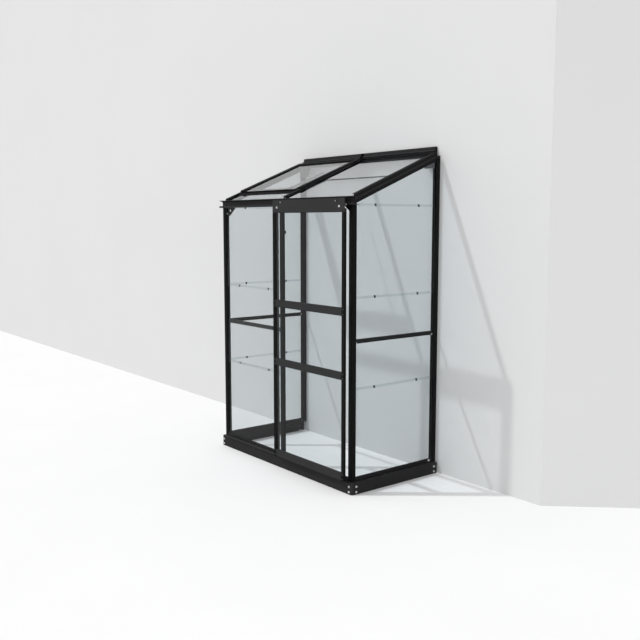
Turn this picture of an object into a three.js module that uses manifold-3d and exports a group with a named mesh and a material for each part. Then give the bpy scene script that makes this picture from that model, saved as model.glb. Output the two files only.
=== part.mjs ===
// Lean-to greenhouse: an aluminium frame with glass panes, a sliding door and a roof vent.
// Millimetres, +Z up. The front with the door faces -Y, the house wall stands behind at +Y.
import * as THREE from "three";
import { mergeVertices } from "three/addons/utils/BufferGeometryUtils.js";
import Module from "manifold-3d";

const wasm = await Module();
wasm.setup();

// Driving sizes of the whole house
const width = 1320; // across the base
const baseDepth = 660; // front of the base to its end at the wall
const baseHeight = 66;
const wallReach = 8; // the rear posts stand this far behind the base's end
const eaveFloor = 1563.3; // underside of the eave beam
const roofStart = 1607; // height of the rafter caps' line at the base front
const roofPitch = 22.05; // degrees
const doorSide = 33; // the closed door stops this far short of the base's side
const doorOverlap = 24; // the closed door reaches this far past the middle
const doorOpenSide = 21; // the open door stops this far short of the base's other side
const doorHead = 1600.7; // top of the door
const doorFoot = 73; // foot of the door's stiles
const doorFront = 30; // the door's face stands this far in front of the base

// Stock and fits
const sheet = 2; // wall of the extruded sections
const pane = 3; // glass thickness
const fit = 0.3; // gap between pieces that touch
const play = 1.5; // free edge of a pane in its groove
const runningGap = 0.08; // radial gap of a pin in its hole
const lap = 12; // how far one pane hangs over the one below
const overrun = 5; // how far a cutting tool passes the surface
const weld = 0.0001;
const pinSides = 24;
const holeSides = 12;
const boltSides = 6;

// Glazing section: nose, groove and seat, shared by posts, mullion and rafters
const barWidth = 29;
const seat = 12; // outer face of a bar to the face that the glass lies on
const barCore = 16; // solid corner of a post
const barDepth = 23; // depth of the mullion and the centre rafter
const webHalf = 2; // half the web between two panes
const slotHalf = 4; // half the bolt slot
const slotMouthHalf = 3;
const slotFloor = 16;
const slotLip = 2;
const portRadius = 3; // screw port in a post's core
const armTurn = 5; // inward lip at the end of a post's arm

// Bolts
const boltRadius = 3;
const boltHead = 5;
const boltHeadHeight = 3;
const boltHole = 3.4;

// Base
const topFlange = 46;
const bottomFlange = 30;
const noseRadius = 12; // rounded front corners
const cornerWall = 3;
const cornerLeg = 40;
const frontBoltInset = 23;
const sideBoltInset = 32;
const lowBolt = 14;
const highBolt = 44;
const bracketRun = 43;
const bracketTongue = 80;
const bracketBolt = 23;

// Posts, sills and mid bars
const postInsetSide = 20;
const postInsetFront = 15;
const sillHeight = 22;
const sillSeatDrop = 3;
const runnerReach = 8; // the sill's runner stands this far in front of the base
const runnerHeight = 14;
const midBarLow = 824;
const midBarHigh = 847;
const midBarDepth = 10.7;

// Eave beam
const beamDepth = 44;
const beamWall = 2.5;
const trackHeight = 10.9; // upstand that the door's rollers run on
const webMouth = 23; // depth of the beam's channel at its lips
const webSag = 2.5; // extra depth of the channel at mid height
const webSteps = 6;
const shelfDrop = 33.2; // shelf that the rafters stand on, above the beam's floor
const shelfTurn = 10;
const lipRise = 45.7; // tip of the upper lip above the beam's floor
const lipRoot = 39.7; // root of the upper lip above the beam's floor
const finBack = 31.5; // glazing fin under the roof panes
const finRise = 42.6;
const stopRadius = 4;
const stopSetback = 8;
const stopHeight = 17;

// Gussets
const gussetThickness = 2.5;
const gussetInset = 13; // from the post's outer face
const gussetReach = 92;
const gussetLow = 51; // below the beam's underside
const gussetHigh = 10; // above the beam's underside
const gussetToe = 23;
const gussetHoleInset = 12;
const gussetWindow = 8;

// Rafters, wall bar and ridge
const rafterStart = 36;
const gableDepth = 47; // a gable rafter's outer wall, square to the roof
const wallBarDepth = 31;
const wallBarDrop = 30; // the wall bar's floor below the rafter caps at its front
const ridgeRise = 21.5; // top of the ridge cover above the rafter caps' line at the wall
const ridgeHeight = 51;
const ridgeInset = 43;
const ridgeDepth = 16;
const ridgeHook = 16;
const roofGlassFoot = 29; // foot of the roof panes along the slope
const roofLap = 324;

// Heights of the laps in the walls
const firstLap = 581;
const secondLap = 1078;
const thirdLap = 1571;

// Vent
const ventHingeSetback = 9; // hinge axis in front of the ridge cover
const ventHingeRise = 3.3; // hinge axis above the rafter caps
const barrelRadius = 5;
const socketGap = 0.3;
const socketWall = 2.2;
const socketMouthLow = 150; // degrees
const socketMouthHigh = 222;
const fullTurn = 360;
const quarterTurn = 90;
const socketSteps = 24;
const neckThickness = 3;
const neckRun = 14; // from the hinge axis to the vent's top rail
const ventThickness = 8;
const ventStile = 34;
const ventStileCore = 20;
const ventLeaf = 1.6;
const ventOuter = 22; // the vent's outer edge from the base's side
const ventInner = 6; // the vent's inner edge past the centre
const ventFoot = 162; // lower edge of the vent along the slope
const ventRail = 30;
const ventRailLeg = 8;
const ventPort = 10;
const slamFoot = 150;
const slamTop = 182;
const slamSeat = 14;

// Stay of the vent
const stayPlace = 135; // from the centre
const stayThickness = 3;
const stayDepth = 12;
const stayPivotRun = 205;
const stayPivotDrop = 7;
const stayFirstHole = 30;
const stayHoleStep = 47.2;
const stayHoles = 6;
const stayHoleRadius = 3.4;
const lugThickness = 3;
const pegGap = 1;
const pegPlate = 3;
const pegReach = 1.5;

// Door
const doorDepth = 14;
const doorStile = 22;
const doorGroove = 10;
const doorGlassInset = 5.5;
const doorGlassGap = 0.3;
const doorTopRail = 73.2;
const doorTopGlazing = 17.5;
const doorMidRail = 40;
const doorMidCore = 12;
const doorUpperRail = 980;
const doorLowerRail = 633;
const doorBottomRail = 77;
const doorBottomHeight = 42.5;

// Rollers and guides
const rollerRadius = 14;
const grooveRadius = 11;
const rollerFront = 3.5; // in front of the base front
const rollerBack = 6;
const grooveSlack = 0.5;
const rollerInset = 67;
const rollerBevel = 1.5;
const axleRadius = 3;
const axleSleeve = 5;
const axleHead = 2;
const guideLength = 40;
const guideInset = 34;
const guideLow = 71;
const guideHigh = 95;
const guideReach = 1;
const guideSlack = 0.6;

// Sizes that follow
const half = width / 2;
const wallPlane = baseDepth + wallReach;
const pitch = THREE.MathUtils.degToRad(roofPitch);
const rise = Math.tan(pitch);
const postX = half - postInsetSide;
const postInner = postX - barWidth;
const postBack = postInsetFront + barWidth;
const rearPostFront = wallPlane - barWidth;
const standHeight = baseHeight + fit;
const sillTop = standHeight + sillHeight;
const wallBarFront = wallPlane - wallBarDepth;
const rafterEnd = wallBarFront - fit;
const wallBarFloor = roofStart + rise * wallBarFront - wallBarDrop;
const ridgeTop = roofStart + rise * wallPlane + ridgeRise;
const ridgeFoot = ridgeTop - ridgeHeight;
const wallBarTop = ridgeTop - beamWall - fit;
const ridgeFront = wallPlane - ridgeDepth;
const ridgeEnd = half - ridgeInset;
const ventHingeY = ridgeFront - ventHingeSetback;
const ventHingeRun = (ventHingeY + ventHingeRise * Math.sin(pitch)) / Math.cos(pitch);
const rollerHeight = eaveFloor + trackHeight + fit + grooveRadius;
const doorRight = half - doorSide;
const doorLeft = -doorOverlap;
const doorTravel = half - doorOverlap - doorOpenSide;
const doorBack = doorFront - doorDepth;
const glassSeat = seat - fit;
const lean = pane + fit;
const yCentre = (wallPlane - doorFront - boltHeadHeight - fit) / 2;

// Materials
const anthracite = { color: 0x2a2c2e, roughness: 0.45, metalness: 0.6 };
const clearGlass = { color: 0xc3d2cf, roughness: 0.05, metalness: 0, transparent: true, opacity: 0.35 };
const blackPlastic = { color: 0x1b1c1d, roughness: 0.6, metalness: 0 };
const bareAluminium = { color: 0xb9bcbe, roughness: 0.35, metalness: 0.9 };

const house = new THREE.Group();
house.position.set(0, -yCentre, 0);

function add(name, geometry, finish) {
  const mesh = new THREE.Mesh(geometry, new THREE.MeshStandardMaterial(finish));
  mesh.name = name;
  house.add(mesh);
}

// Extrusions: an outline is a list of [u, v] points
function prism(outline, length, holes = []) {
  const toVectors = (points) => points.map(([u, v]) => new THREE.Vector2(u, v));
  const rim = toVectors(outline);
  const shape = new THREE.Shape(THREE.ShapeUtils.isClockWise(rim) ? rim.reverse() : rim);
  for (const hole of holes) {
    shape.holes.push(new THREE.Path(toVectors(hole)));
  }
  return new THREE.ExtrudeGeometry(shape, { depth: length, bevelEnabled: false });
}

const axisX = new THREE.Vector3(1, 0, 0);
const axisY = new THREE.Vector3(0, 1, 0);
const axisZ = new THREE.Vector3(0, 0, 1);
const slopeAxis = new THREE.Vector3(0, Math.cos(pitch), Math.sin(pitch));
const roofNormal = new THREE.Vector3(0, Math.sin(pitch), -Math.cos(pitch));

// Outline in (y, z)
function alongX(outline, from, to, holes) {
  const turn = new THREE.Matrix4().makeBasis(axisY, axisZ, axisX);
  return prism(outline, to - from, holes).applyMatrix4(turn).translate(from, 0, 0);
}

// Outline in (x, z)
function alongY(outline, from, to, holes) {
  const turn = new THREE.Matrix4().makeBasis(axisX, axisZ, axisY.clone().negate());
  return prism(outline, to - from, holes).applyMatrix4(turn).translate(0, to, 0);
}

// Outline in (x, y)
function alongZ(outline, from, to, holes) {
  return prism(outline, to - from, holes).translate(0, 0, from);
}

// Outline in (x, depth below the rafter caps), with ends square to the slope
function alongSlope(outline, from, to) {
  const turn = new THREE.Matrix4().makeBasis(axisX, roofNormal, slopeAxis);
  const geometry = prism(outline, to - from).translate(0, 0, from);
  return geometry.applyMatrix4(turn).translate(0, 0, roofStart);
}

// Outline in (x, depth below the rafter caps), with upright ends at two depths into the house
function rafterBar(outline, from, to) {
  const upright = outline.map(([x, depth]) => [x, roofStart - depth / Math.cos(pitch)]);
  const shear = new THREE.Matrix4().set(1, 0, 0, 0, 0, 1, 0, 0, 0, rise, 1, 0, 0, 0, 0, 1);
  return alongY(upright, from, to).applyMatrix4(shear);
}

// A point given by its run along the slope and its depth below the rafter caps, as (y, z)
function roofPoint(run, depth) {
  const y = run * Math.cos(pitch) + depth * Math.sin(pitch);
  const z = roofStart + run * Math.sin(pitch) - depth * Math.cos(pitch);
  return [y, z];
}

function capHeight(y) {
  return roofStart + rise * y;
}

function onRoof(outline) {
  return outline.map(([run, depth]) => roofPoint(run, depth));
}

function rectangle(u0, u1, v0, v1) {
  return [[u0, v0], [u1, v0], [u1, v1], [u0, v1]];
}

function circle(u, v, radius, sides) {
  const points = [];
  for (let i = 0; i < sides; i += 1) {
    const turn = (2 * Math.PI * i) / sides;
    points.push([u + radius * Math.cos(turn), v + radius * Math.sin(turn)]);
  }
  return points;
}

function arc(u, v, radius, fromDegrees, toDegrees, steps) {
  const points = [];
  for (let i = 0; i <= steps; i += 1) {
    const turn = THREE.MathUtils.degToRad(fromDegrees + ((toDegrees - fromDegrees) * i) / steps);
    points.push([u + radius * Math.cos(turn), v + radius * Math.sin(turn)]);
  }
  return points;
}

function placed(outline, u, v, uSign = 1, vSign = 1) {
  return outline.map(([a, b]) => [u + uSign * a, v + vSign * b]);
}

function bothSides(outline) {
  const other = outline.map(([a, b]) => [-a, b]).reverse();
  return [...outline, ...other];
}

// Booleans
function solidOf(geometry) {
  const bare = new THREE.BufferGeometry();
  bare.setAttribute("position", geometry.getAttribute("position").clone());
  if (geometry.index) {
    bare.setIndex(geometry.index.clone());
  }
  const merged = mergeVertices(bare, weld);
  const vertProperties = Float32Array.from(merged.getAttribute("position").array);
  const triVerts = Uint32Array.from(merged.index.array);
  return new wasm.Manifold(new wasm.Mesh({ numProp: 3, vertProperties, triVerts }));
}

function geometryOf(solid) {
  const mesh = solid.getMesh();
  const geometry = new THREE.BufferGeometry();
  geometry.setAttribute("position", new THREE.BufferAttribute(mesh.vertProperties, 3));
  geometry.setIndex(new THREE.BufferAttribute(mesh.triVerts, 1));
  geometry.computeVertexNormals();
  return geometry;
}

function join(first, ...others) {
  return geometryOf(others.reduce((sum, next) => sum.add(solidOf(next)), solidOf(first)));
}

function cut(first, ...tools) {
  return geometryOf(tools.reduce((rest, tool) => rest.subtract(solidOf(tool)), solidOf(first)));
}

// The same piece for the other side of the house
function mirrored(geometry) {
  const copy = geometry.index ? geometry.toNonIndexed() : geometry.clone();
  const from = copy.getAttribute("position");
  const flipped = new Float32Array(from.count * 3);
  for (let i = 0; i < from.count; i += 3) {
    for (const [slot, corner] of [[0, 0], [1, 2], [2, 1]]) {
      flipped[(i + slot) * 3] = -from.getX(i + corner);
      flipped[(i + slot) * 3 + 1] = from.getY(i + corner);
      flipped[(i + slot) * 3 + 2] = from.getZ(i + corner);
    }
  }
  const other = new THREE.BufferGeometry();
  other.setAttribute("position", new THREE.BufferAttribute(flipped, 3));
  other.computeVertexNormals();
  return other;
}

function addPair(stem, geometry, finish) {
  add(`${stem}_right`, geometry, finish);
  add(`${stem}_left`, mirrored(geometry), finish);
}

// Bolts: a shank that starts in the piece that holds it and a head outside the piece it clamps
function boltAlongX(y, z, from, seatX) {
  const shank = alongX(circle(y, z, boltRadius, holeSides), from, seatX + overrun * fit);
  const head = alongX(circle(y, z, boltHead, boltSides), seatX, seatX + boltHeadHeight);
  return [shank, head];
}

function boltAlongY(x, z, from, seatY) {
  const shank = alongY(circle(x, z, boltRadius, holeSides), seatY - overrun * fit, from);
  const head = alongY(circle(x, z, boltHead, boltSides), seatY - boltHeadHeight, seatY);
  return [shank, head];
}

// Base: three C-section plates, two rounded front corners and two brackets at the wall
function basePlateOutline(depth) {
  return [
    [0, 0],
    [bottomFlange, 0],
    [bottomFlange, sheet],
    [sheet, sheet],
    [sheet, depth - sheet],
    [topFlange, depth - sheet],
    [topFlange, depth],
    [0, depth],
  ];
}

function baseFront() {
  const faceEnd = half - noseRadius - fit;
  const flangeEnd = half - topFlange - fit;
  const face = alongX(rectangle(0, sheet, 0, baseHeight), -faceEnd, faceEnd);
  const flanges = alongX(basePlateOutline(baseHeight), -flangeEnd, flangeEnd);
  const holes = [];
  for (const x of [frontBoltInset - half, half - frontBoltInset]) {
    for (const z of [lowBolt, highBolt]) {
      holes.push(alongY(circle(x, z, boltHole, holeSides), -overrun, sheet + overrun));
    }
  }
  return cut(join(face, flanges), ...holes);
}

function baseSide() {
  const faceStart = noseRadius + fit;
  const flangeStart = topFlange + fit;
  const end = baseDepth - bracketRun - fit;
  const face = alongY(placed(rectangle(0, sheet, 0, baseHeight), half, 0, -1), faceStart, end);
  const section = placed(basePlateOutline(baseHeight), half, 0, -1);
  const flanges = alongY(section, flangeStart, end);
  const holes = [lowBolt, highBolt].map((z) =>
    alongX(circle(sideBoltInset, z, boltHole, holeSides), half - sheet - overrun, half + overrun),
  );
  return cut(join(face, flanges), ...holes);
}

function baseCorner() {
  const inner = sheet + fit;
  const wall = inner + cornerWall;
  const nose = arc(noseRadius, noseRadius, noseRadius, 2 * quarterTurn, 3 * quarterTurn, webSteps);
  const legs = [
    ...nose,
    [noseRadius, inner],
    [cornerLeg, inner],
    [cornerLeg, wall],
    [wall, wall],
    [wall, cornerLeg],
    [inner, cornerLeg],
    [inner, noseRadius],
  ];
  const top = [
    ...nose,
    [noseRadius, inner],
    [topFlange, inner],
    [topFlange, topFlange],
    [inner, topFlange],
    [inner, noseRadius],
  ];
  const pieces = [alongZ(placed(top, half, 0, -1), baseHeight - sheet, baseHeight)];
  for (const z of [lowBolt, highBolt]) {
    pieces.push(...boltAlongY(half - frontBoltInset, z, wall - fit, -fit));
    pieces.push(...boltAlongX(sideBoltInset, z, half - wall + fit, half + fit));
  }
  return join(alongZ(placed(legs, half, 0, -1), 0, baseHeight), ...pieces);
}

function baseWallBracket() {
  const inner = sheet + fit;
  const wall = inner + cornerWall;
  const angle = [
    [0, 0],
    [bottomFlange, 0],
    [bottomFlange, sheet],
    [wall, sheet],
    [wall, bracketRun],
    [0, bracketRun],
  ];
  const at = (outline) => placed(outline, half, baseDepth, -1, -1);
  const body = alongZ(at(angle), 0, baseHeight);
  const top = alongZ(at(rectangle(0, topFlange, 0, bracketRun)), baseHeight - sheet, baseHeight);
  const tongueOutline = rectangle(inner, wall, sheet, bracketTongue);
  const tongue = alongZ(at(tongueOutline), sheet + fit, baseHeight - sheet - fit);
  const bolts = [];
  for (const z of [lowBolt, highBolt]) {
    bolts.push(...boltAlongX(baseDepth - bracketBolt, z, half - wall + fit, half));
  }
  return join(body, top, tongue, ...bolts);
}

// Sills: channels that take the foot of the lowest panes
function sillChannel(front) {
  return [
    [front, standHeight],
    [seat + sheet, standHeight],
    [seat + sheet, sillTop - sillSeatDrop],
    [seat, sillTop - sillSeatDrop],
    [seat, standHeight + sheet],
    [sheet, standHeight + sheet],
    [sheet, sillTop],
    [0, sillTop],
  ];
}

function sillFront() {
  const lip = -runnerReach - postInsetFront;
  const outline = [
    ...sillChannel(lip),
    [0, standHeight + sheet],
    [lip + sheet, standHeight + sheet],
    [lip + sheet, standHeight + runnerHeight],
    [lip, standHeight + runnerHeight],
  ];
  const end = postInner - fit;
  return alongX(placed(outline, postInsetFront, 0), -end, end);
}

function sillSide() {
  return alongY(placed(sillChannel(0), postX, 0, -1), postBack + fit, rearPostFront - fit);
}

// Posts: a solid core with a screw port, a groove for each wall's glass and a bolt slot
function postOutline() {
  const arm = barWidth - sheet;
  return [
    [0, 0],
    [barWidth, 0],
    [barWidth, sheet],
    [barCore, sheet],
    [barCore, seat],
    [barWidth, seat],
    [barWidth, barWidth],
    [barWidth - armTurn, barWidth],
    [barWidth - armTurn, arm],
    [arm, arm],
    [arm, seat + sheet],
    [seat + sheet, seat + sheet],
    [seat + sheet, arm],
    [seat + armTurn, arm],
    [seat + armTurn, barWidth],
    [seat, barWidth],
    [seat, barCore],
    [sheet, barCore],
    [sheet, barWidth],
    [0, barWidth],
  ];
}

function post(y, inward, top) {
  const port = circle(barCore / 2, barCore / 2, portRadius, holeSides);
  const at = (outline) => placed(outline, postX, y, -1, inward);
  return alongZ(at(postOutline()), standHeight, top, [at(port)]);
}

function glazingBarHalf() {
  const side = barWidth / 2;
  return [
    [side, 0],
    [side, sheet],
    [webHalf, sheet],
    [webHalf, seat],
    [side, seat],
    [side, seat + sheet],
    [slotHalf + sheet, seat + sheet],
    [slotHalf + sheet, barDepth],
    [slotMouthHalf, barDepth],
    [slotMouthHalf, barDepth - slotLip],
    [slotHalf, barDepth - slotLip],
    [slotHalf, slotFloor],
  ];
}

function mullion() {
  const outline = placed(bothSides(glazingBarHalf()), 0, postInsetFront);
  return alongZ(outline, sillTop + fit, eaveFloor - fit);
}

function midBarOutline() {
  return [
    [0, midBarLow],
    [midBarDepth, midBarLow],
    [midBarDepth, midBarLow + sheet],
    [sheet, midBarLow + sheet],
    [sheet, midBarHigh - sheet],
    [midBarDepth, midBarHigh - sheet],
    [midBarDepth, midBarHigh],
    [0, midBarHigh],
  ];
}

function sideBar() {
  const outline = placed(midBarOutline(), postX - seat - fit, 0, -1);
  return alongY(outline, postBack + fit, rearPostFront - fit);
}

function frontBar() {
  const outline = placed(midBarOutline(), postInsetFront + seat + fit, 0);
  return alongX(outline, fit - postInner, -barWidth / 2 - fit);
}

// Eave beam: a channel that opens to the front, with the door's track as its lower lip
function eaveBeamOutline() {
  const low = eaveFloor + beamWall;
  const shelf = eaveFloor + shelfDrop;
  const lipLow = eaveFloor + lipRoot;
  const sagHeight = lipLow - beamWall - low;
  const backWeb = [];
  const frontWeb = [];
  for (let i = 0; i <= webSteps; i += 1) {
    const share = i / webSteps;
    const depth = webMouth + webSag * Math.sin(Math.PI * share);
    const z = low + sagHeight * share;
    frontWeb.push([depth, z]);
    if (z < shelf - beamWall) {
      backWeb.push([depth + beamWall, z]);
    }
  }
  const tip = eaveFloor + lipRise;
  return [
    [0, eaveFloor],
    [beamDepth, eaveFloor],
    [beamDepth, low],
    ...backWeb,
    [finBack, shelf - beamWall],
    [beamDepth - sheet, shelf - beamWall],
    [beamDepth - sheet, shelf - shelfTurn],
    [beamDepth, shelf - shelfTurn],
    [beamDepth, shelf],
    [finBack, shelf],
    [finBack, eaveFloor + finRise],
    [finBack - beamWall, eaveFloor + finRise],
    [finBack - beamWall, lipLow],
    [0, tip],
    [0, tip - beamWall],
    ...frontWeb.reverse(),
    [beamWall, low],
    [beamWall, eaveFloor + trackHeight],
    [0, eaveFloor + trackHeight],
  ];
}

function eaveBeam() {
  const stopGap = rollerRadius + stopRadius + grooveSlack;
  const openStop = doorLeft + rollerInset - doorTravel - stopGap;
  const closedStop = doorRight - rollerInset + stopGap;
  const stops = [openStop, closedStop].map((x) =>
    alongZ(circle(x, stopSetback, stopRadius, holeSides), eaveFloor + sheet, eaveFloor + stopHeight),
  );
  return join(alongX(eaveBeamOutline(), -half, half), ...stops);
}

function gusset() {
  const outer = gussetInset;
  const outline = [
    [outer, eaveFloor - gussetLow],
    [outer + gussetToe, eaveFloor - gussetLow],
    [outer + gussetReach, eaveFloor],
    [outer + gussetReach, eaveFloor + gussetHigh],
    [outer, eaveFloor + gussetHigh],
  ];
  const holes = [
    circle(outer + gussetHoleInset, eaveFloor - gussetLow + gussetHoleInset, boltHole, holeSides),
    circle(outer + gussetReach - gussetHoleInset, eaveFloor + fit, boltHole, holeSides),
    circle(outer + (gussetReach + gussetToe) / 4, eaveFloor - gussetLow / 3, gussetWindow, holeSides),
  ];
  const at = (points) => placed(points, postX, 0, -1);
  const front = postBack + fit;
  return alongY(at(outline), front, front + gussetThickness, holes.map(at));
}

// Rafters
function gableRafterOutline() {
  return [
    [0, 0],
    [barWidth, 0],
    [barWidth, sheet],
    [barCore, sheet],
    [barCore, seat],
    [barWidth, seat],
    [barWidth, barDepth],
    [barWidth - sheet, barDepth],
    [barWidth - sheet, seat + sheet],
    [seat + sheet, seat + sheet],
    [seat + sheet, gableDepth],
    [seat, gableDepth],
    [seat, barCore],
    [sheet, barCore],
    [sheet, gableDepth],
    [0, gableDepth],
  ];
}

function gableRafter() {
  const bar = rafterBar(placed(gableRafterOutline(), postX, 0, -1), rafterStart, rafterEnd);
  const shelf = eaveFloor + shelfDrop + fit;
  const clear = rectangle(rafterStart - overrun, beamDepth + fit, eaveFloor - barWidth, shelf);
  return cut(bar, alongX(clear, postInner - overrun, postX + overrun));
}

function centreRafter() {
  return rafterBar(bothSides(glazingBarHalf()), rafterStart, rafterEnd);
}

// Wall bar and ridge cover with the vent's hinge socket
function wallBar() {
  const paneUnder = capHeight(wallBarFront) - (glassSeat - lean) / Math.cos(pitch) - fit;
  const outline = [
    [wallBarFront, wallBarFloor],
    [wallPlane, wallBarFloor],
    [wallPlane, wallBarTop],
    [wallPlane - beamWall, wallBarTop],
    [wallPlane - beamWall, wallBarFloor + beamWall],
    [wallBarFront + beamWall, wallBarFloor + beamWall],
    [wallBarFront + beamWall, paneUnder],
    [wallBarFront, paneUnder],
  ];
  // Past the ridge cover's ends the bar stands no higher than the cover's foot
  const above = rectangle(wallBarFront - overrun, wallPlane + overrun, ridgeFoot - fit, ridgeTop);
  const bar = alongX(outline, -postX, postX);
  return cut(bar, alongX(above, ridgeEnd, half), alongX(above, -half, -ridgeEnd));
}

function ridgeCover() {
  const front = ridgeFront;
  const hookBack = wallPlane - beamWall - fit;
  const cover = [
    [front, ridgeFoot],
    [front + beamWall, ridgeFoot],
    [front + beamWall, ridgeTop - beamWall],
    [hookBack - beamWall, ridgeTop - beamWall],
    [hookBack - beamWall, ridgeTop - ridgeHook],
    [hookBack, ridgeTop - ridgeHook],
    [hookBack, ridgeTop - beamWall],
    [wallPlane, ridgeTop - beamWall],
    [wallPlane, ridgeTop],
    [front, ridgeTop],
  ];
  const [hingeY, hingeZ] = roofPoint(ventHingeRun, -ventHingeRise);
  const inner = barrelRadius + socketGap;
  const outer = inner + socketWall;
  const start = socketMouthHigh;
  const end = socketMouthLow + fullTurn;
  const socket = [
    ...arc(hingeY, hingeZ, outer, start, end, socketSteps),
    ...arc(hingeY, hingeZ, inner, end, start, socketSteps),
  ];
  const webHalfHeight = socketWall / 2;
  const web = rectangle(hingeY + inner + webHalfHeight, front + fit, hingeZ - webHalfHeight, hingeZ + webHalfHeight);
  const pieces = [cover, socket, web].map((outline) => alongX(outline, -ridgeEnd, ridgeEnd));
  return join(...pieces);
}

// Glass of the walls: each pane's foot hangs outside the pane below
function wallPane(outline, low, high) {
  const geometry = prism(outline, pane);
  const position = geometry.getAttribute("position");
  for (let i = 0; i < position.count; i += 1) {
    const share = Math.min(1, Math.max(0, (high - position.getY(i)) / (high - low)));
    position.setZ(i, position.getZ(i) + lean * share);
  }
  return geometry;
}

// Outline in (y, z); local z runs outward
function sidePane(outline, low, high) {
  const turn = new THREE.Matrix4().makeBasis(axisY, axisZ, axisX);
  return wallPane(outline, low, high).applyMatrix4(turn).translate(postX - glassSeat, 0, 0);
}

// Outline in (x, z); local z runs outward
function frontPane(outline, low, high) {
  const turn = new THREE.Matrix4().makeBasis(axisX, axisZ, axisY.clone().negate());
  return wallPane(outline, low, high).applyMatrix4(turn).translate(0, postInsetFront + glassSeat, 0);
}

const paneFoot = standHeight + sheet + fit;
const paneLevels = [
  [paneFoot, firstLap],
  [firstLap - lap, secondLap],
  [secondLap - lap, thirdLap],
];

function sidePanes() {
  const front = postInsetFront + barCore + play;
  const back = wallPlane - barCore - play;
  const panes = paneLevels.map(([low, high]) => sidePane(rectangle(front, back, low, high), low, high));
  const [low3, high3] = paneLevels[2];
  const shoulder = beamDepth + fit + fit;
  const underBeam = eaveFloor - fit;
  const notched = [
    [front, low3],
    [back, low3],
    [back, high3],
    [shoulder, high3],
    [shoulder, underBeam],
    [front, underBeam],
  ];
  panes[2] = sidePane(notched, low3, high3);
  const grooveTop = (y) => capHeight(y) - (barCore + fit) / Math.cos(pitch);
  const rear = rafterEnd - fit;
  const underWallBar = wallBarFloor - fit;
  const gable = [
    [shoulder, high3 - lap],
    [back, high3 - lap],
    [back, underWallBar],
    [rear, underWallBar],
    [rear, grooveTop(rear)],
    [shoulder, grooveTop(shoulder)],
  ];
  panes.push(sidePane(gable, high3 - lap, grooveTop(rear)));
  return panes;
}

function frontPanes() {
  const outer = play - (postX - barCore);
  const inner = -webHalf - play;
  const panes = [];
  for (const [low, high] of paneLevels) {
    const top = Math.min(high, eaveFloor - fit);
    panes.push(frontPane(rectangle(outer, inner, low, top), low, top));
  }
  return panes;
}

// Glass of the roof
function roofPane(fromX, toX, low, high, under) {
  return alongX(onRoof(rectangle(low, high, under - pane, under)), fromX, toX);
}

// Vent
const ventLeft = ventOuter - half;
const ventUnder = -fit;
const ventTopFace = -fit - ventThickness;

function ventStileOutline() {
  const groove = ventTopFace + ventLeaf;
  const bed = ventUnder - ventLeaf;
  return [
    [0, ventTopFace],
    [ventStile, ventTopFace],
    [ventStile, groove],
    [ventStileCore, groove],
    [ventStileCore, bed],
    [ventStile, bed],
    [ventStile, ventUnder],
    [(ventStileCore + ventPort) / 2, ventUnder],
    [(ventStileCore + ventPort) / 2, groove + sheet],
    [(ventStileCore - ventPort) / 2, groove + sheet],
    [(ventStileCore - ventPort) / 2, ventUnder],
    [0, ventUnder],
  ];
}

const ventRailTop = ventHingeRun - neckRun;

function ventStilePiece(edge, sign) {
  return alongSlope(placed(ventStileOutline(), edge, 0, sign), ventFoot, ventRailTop);
}

function ventTopRail() {
  const from = ventLeft + ventStile + fit;
  const to = ventInner - ventStile - fit;
  const low = ventRailTop - ventRail;
  const mouth = low + ventStile - ventStileCore;
  const groove = ventTopFace + ventLeaf;
  const bed = ventUnder - ventLeaf;
  const rail = [
    [low, ventTopFace],
    [ventRailTop, ventTopFace],
    [ventRailTop, ventUnder],
    [low, ventUnder],
    [low, bed],
    [mouth, bed],
    [mouth, groove],
    [low, groove],
  ];
  const axis = [ventHingeRun, -ventHingeRise];
  const neck = rectangle(
    ventRailTop - fit,
    ventHingeRun,
    axis[1] - neckThickness / 2,
    axis[1] + neckThickness / 2,
  );
  const barrel = circle(axis[0], axis[1], barrelRadius, pinSides);
  const pieces = [rail, neck, barrel].map((outline) => alongX(onRoof(outline), from, to));
  return join(...pieces);
}

function ventBottomRail() {
  const from = ventLeft + ventStile + fit;
  const to = ventInner - ventStile - fit;
  const top = ventFoot + ventRail;
  const mouth = top - (ventStile - ventStileCore);
  const groove = ventTopFace + ventLeaf;
  const bed = ventUnder - ventLeaf;
  const rail = [
    [ventFoot - sheet, ventTopFace],
    [top, ventTopFace],
    [top, groove],
    [mouth, groove],
    [mouth, bed],
    [top, bed],
    [top, ventUnder],
    [ventFoot - sheet, ventUnder],
  ];
  const leg = rectangle(slamFoot - fit - sheet, slamFoot - fit, ventTopFace, ventRailLeg);
  const hood = rectangle(slamFoot - fit - sheet, ventFoot, ventTopFace, ventTopFace + sheet);
  const lugStart = -stayPlace + stayThickness / 2 + fit;
  const lugRoot = slamTop + play;
  const lugTop = ventUnder - ventLeaf / 2;
  const lugEnd = arc(stayPivotRun, stayPivotDrop, stayDepth / 2, -60, 120, webSteps);
  const lugOutline = [[lugRoot, lugTop], [top, lugTop], ...lugEnd, [lugRoot, stayPivotDrop]];
  const lug = alongX(onRoof(lugOutline), lugStart, lugStart + lugThickness);
  const pinStart = lugStart - fit - stayThickness - fit;
  const pinOutline = circle(stayPivotRun, stayPivotDrop, axleRadius, pinSides);
  const pin = alongX(onRoof(pinOutline), pinStart, lugStart + fit);
  const span = [rail, leg, hood].map((outline) => alongX(onRoof(outline), from, to));
  return join(...span, lug, pin);
}

function ventGlass() {
  const under = ventUnder - ventLeaf - fit;
  const low = ventFoot + ventRail - (ventStile - ventStileCore) + play;
  const high = ventRailTop - ventRail + (ventStile - ventStileCore) - play;
  const from = ventLeft + ventStileCore + play;
  const to = ventInner - ventStileCore - play;
  return alongX(onRoof(rectangle(low, high, under - pane, under)), from, to);
}

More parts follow.
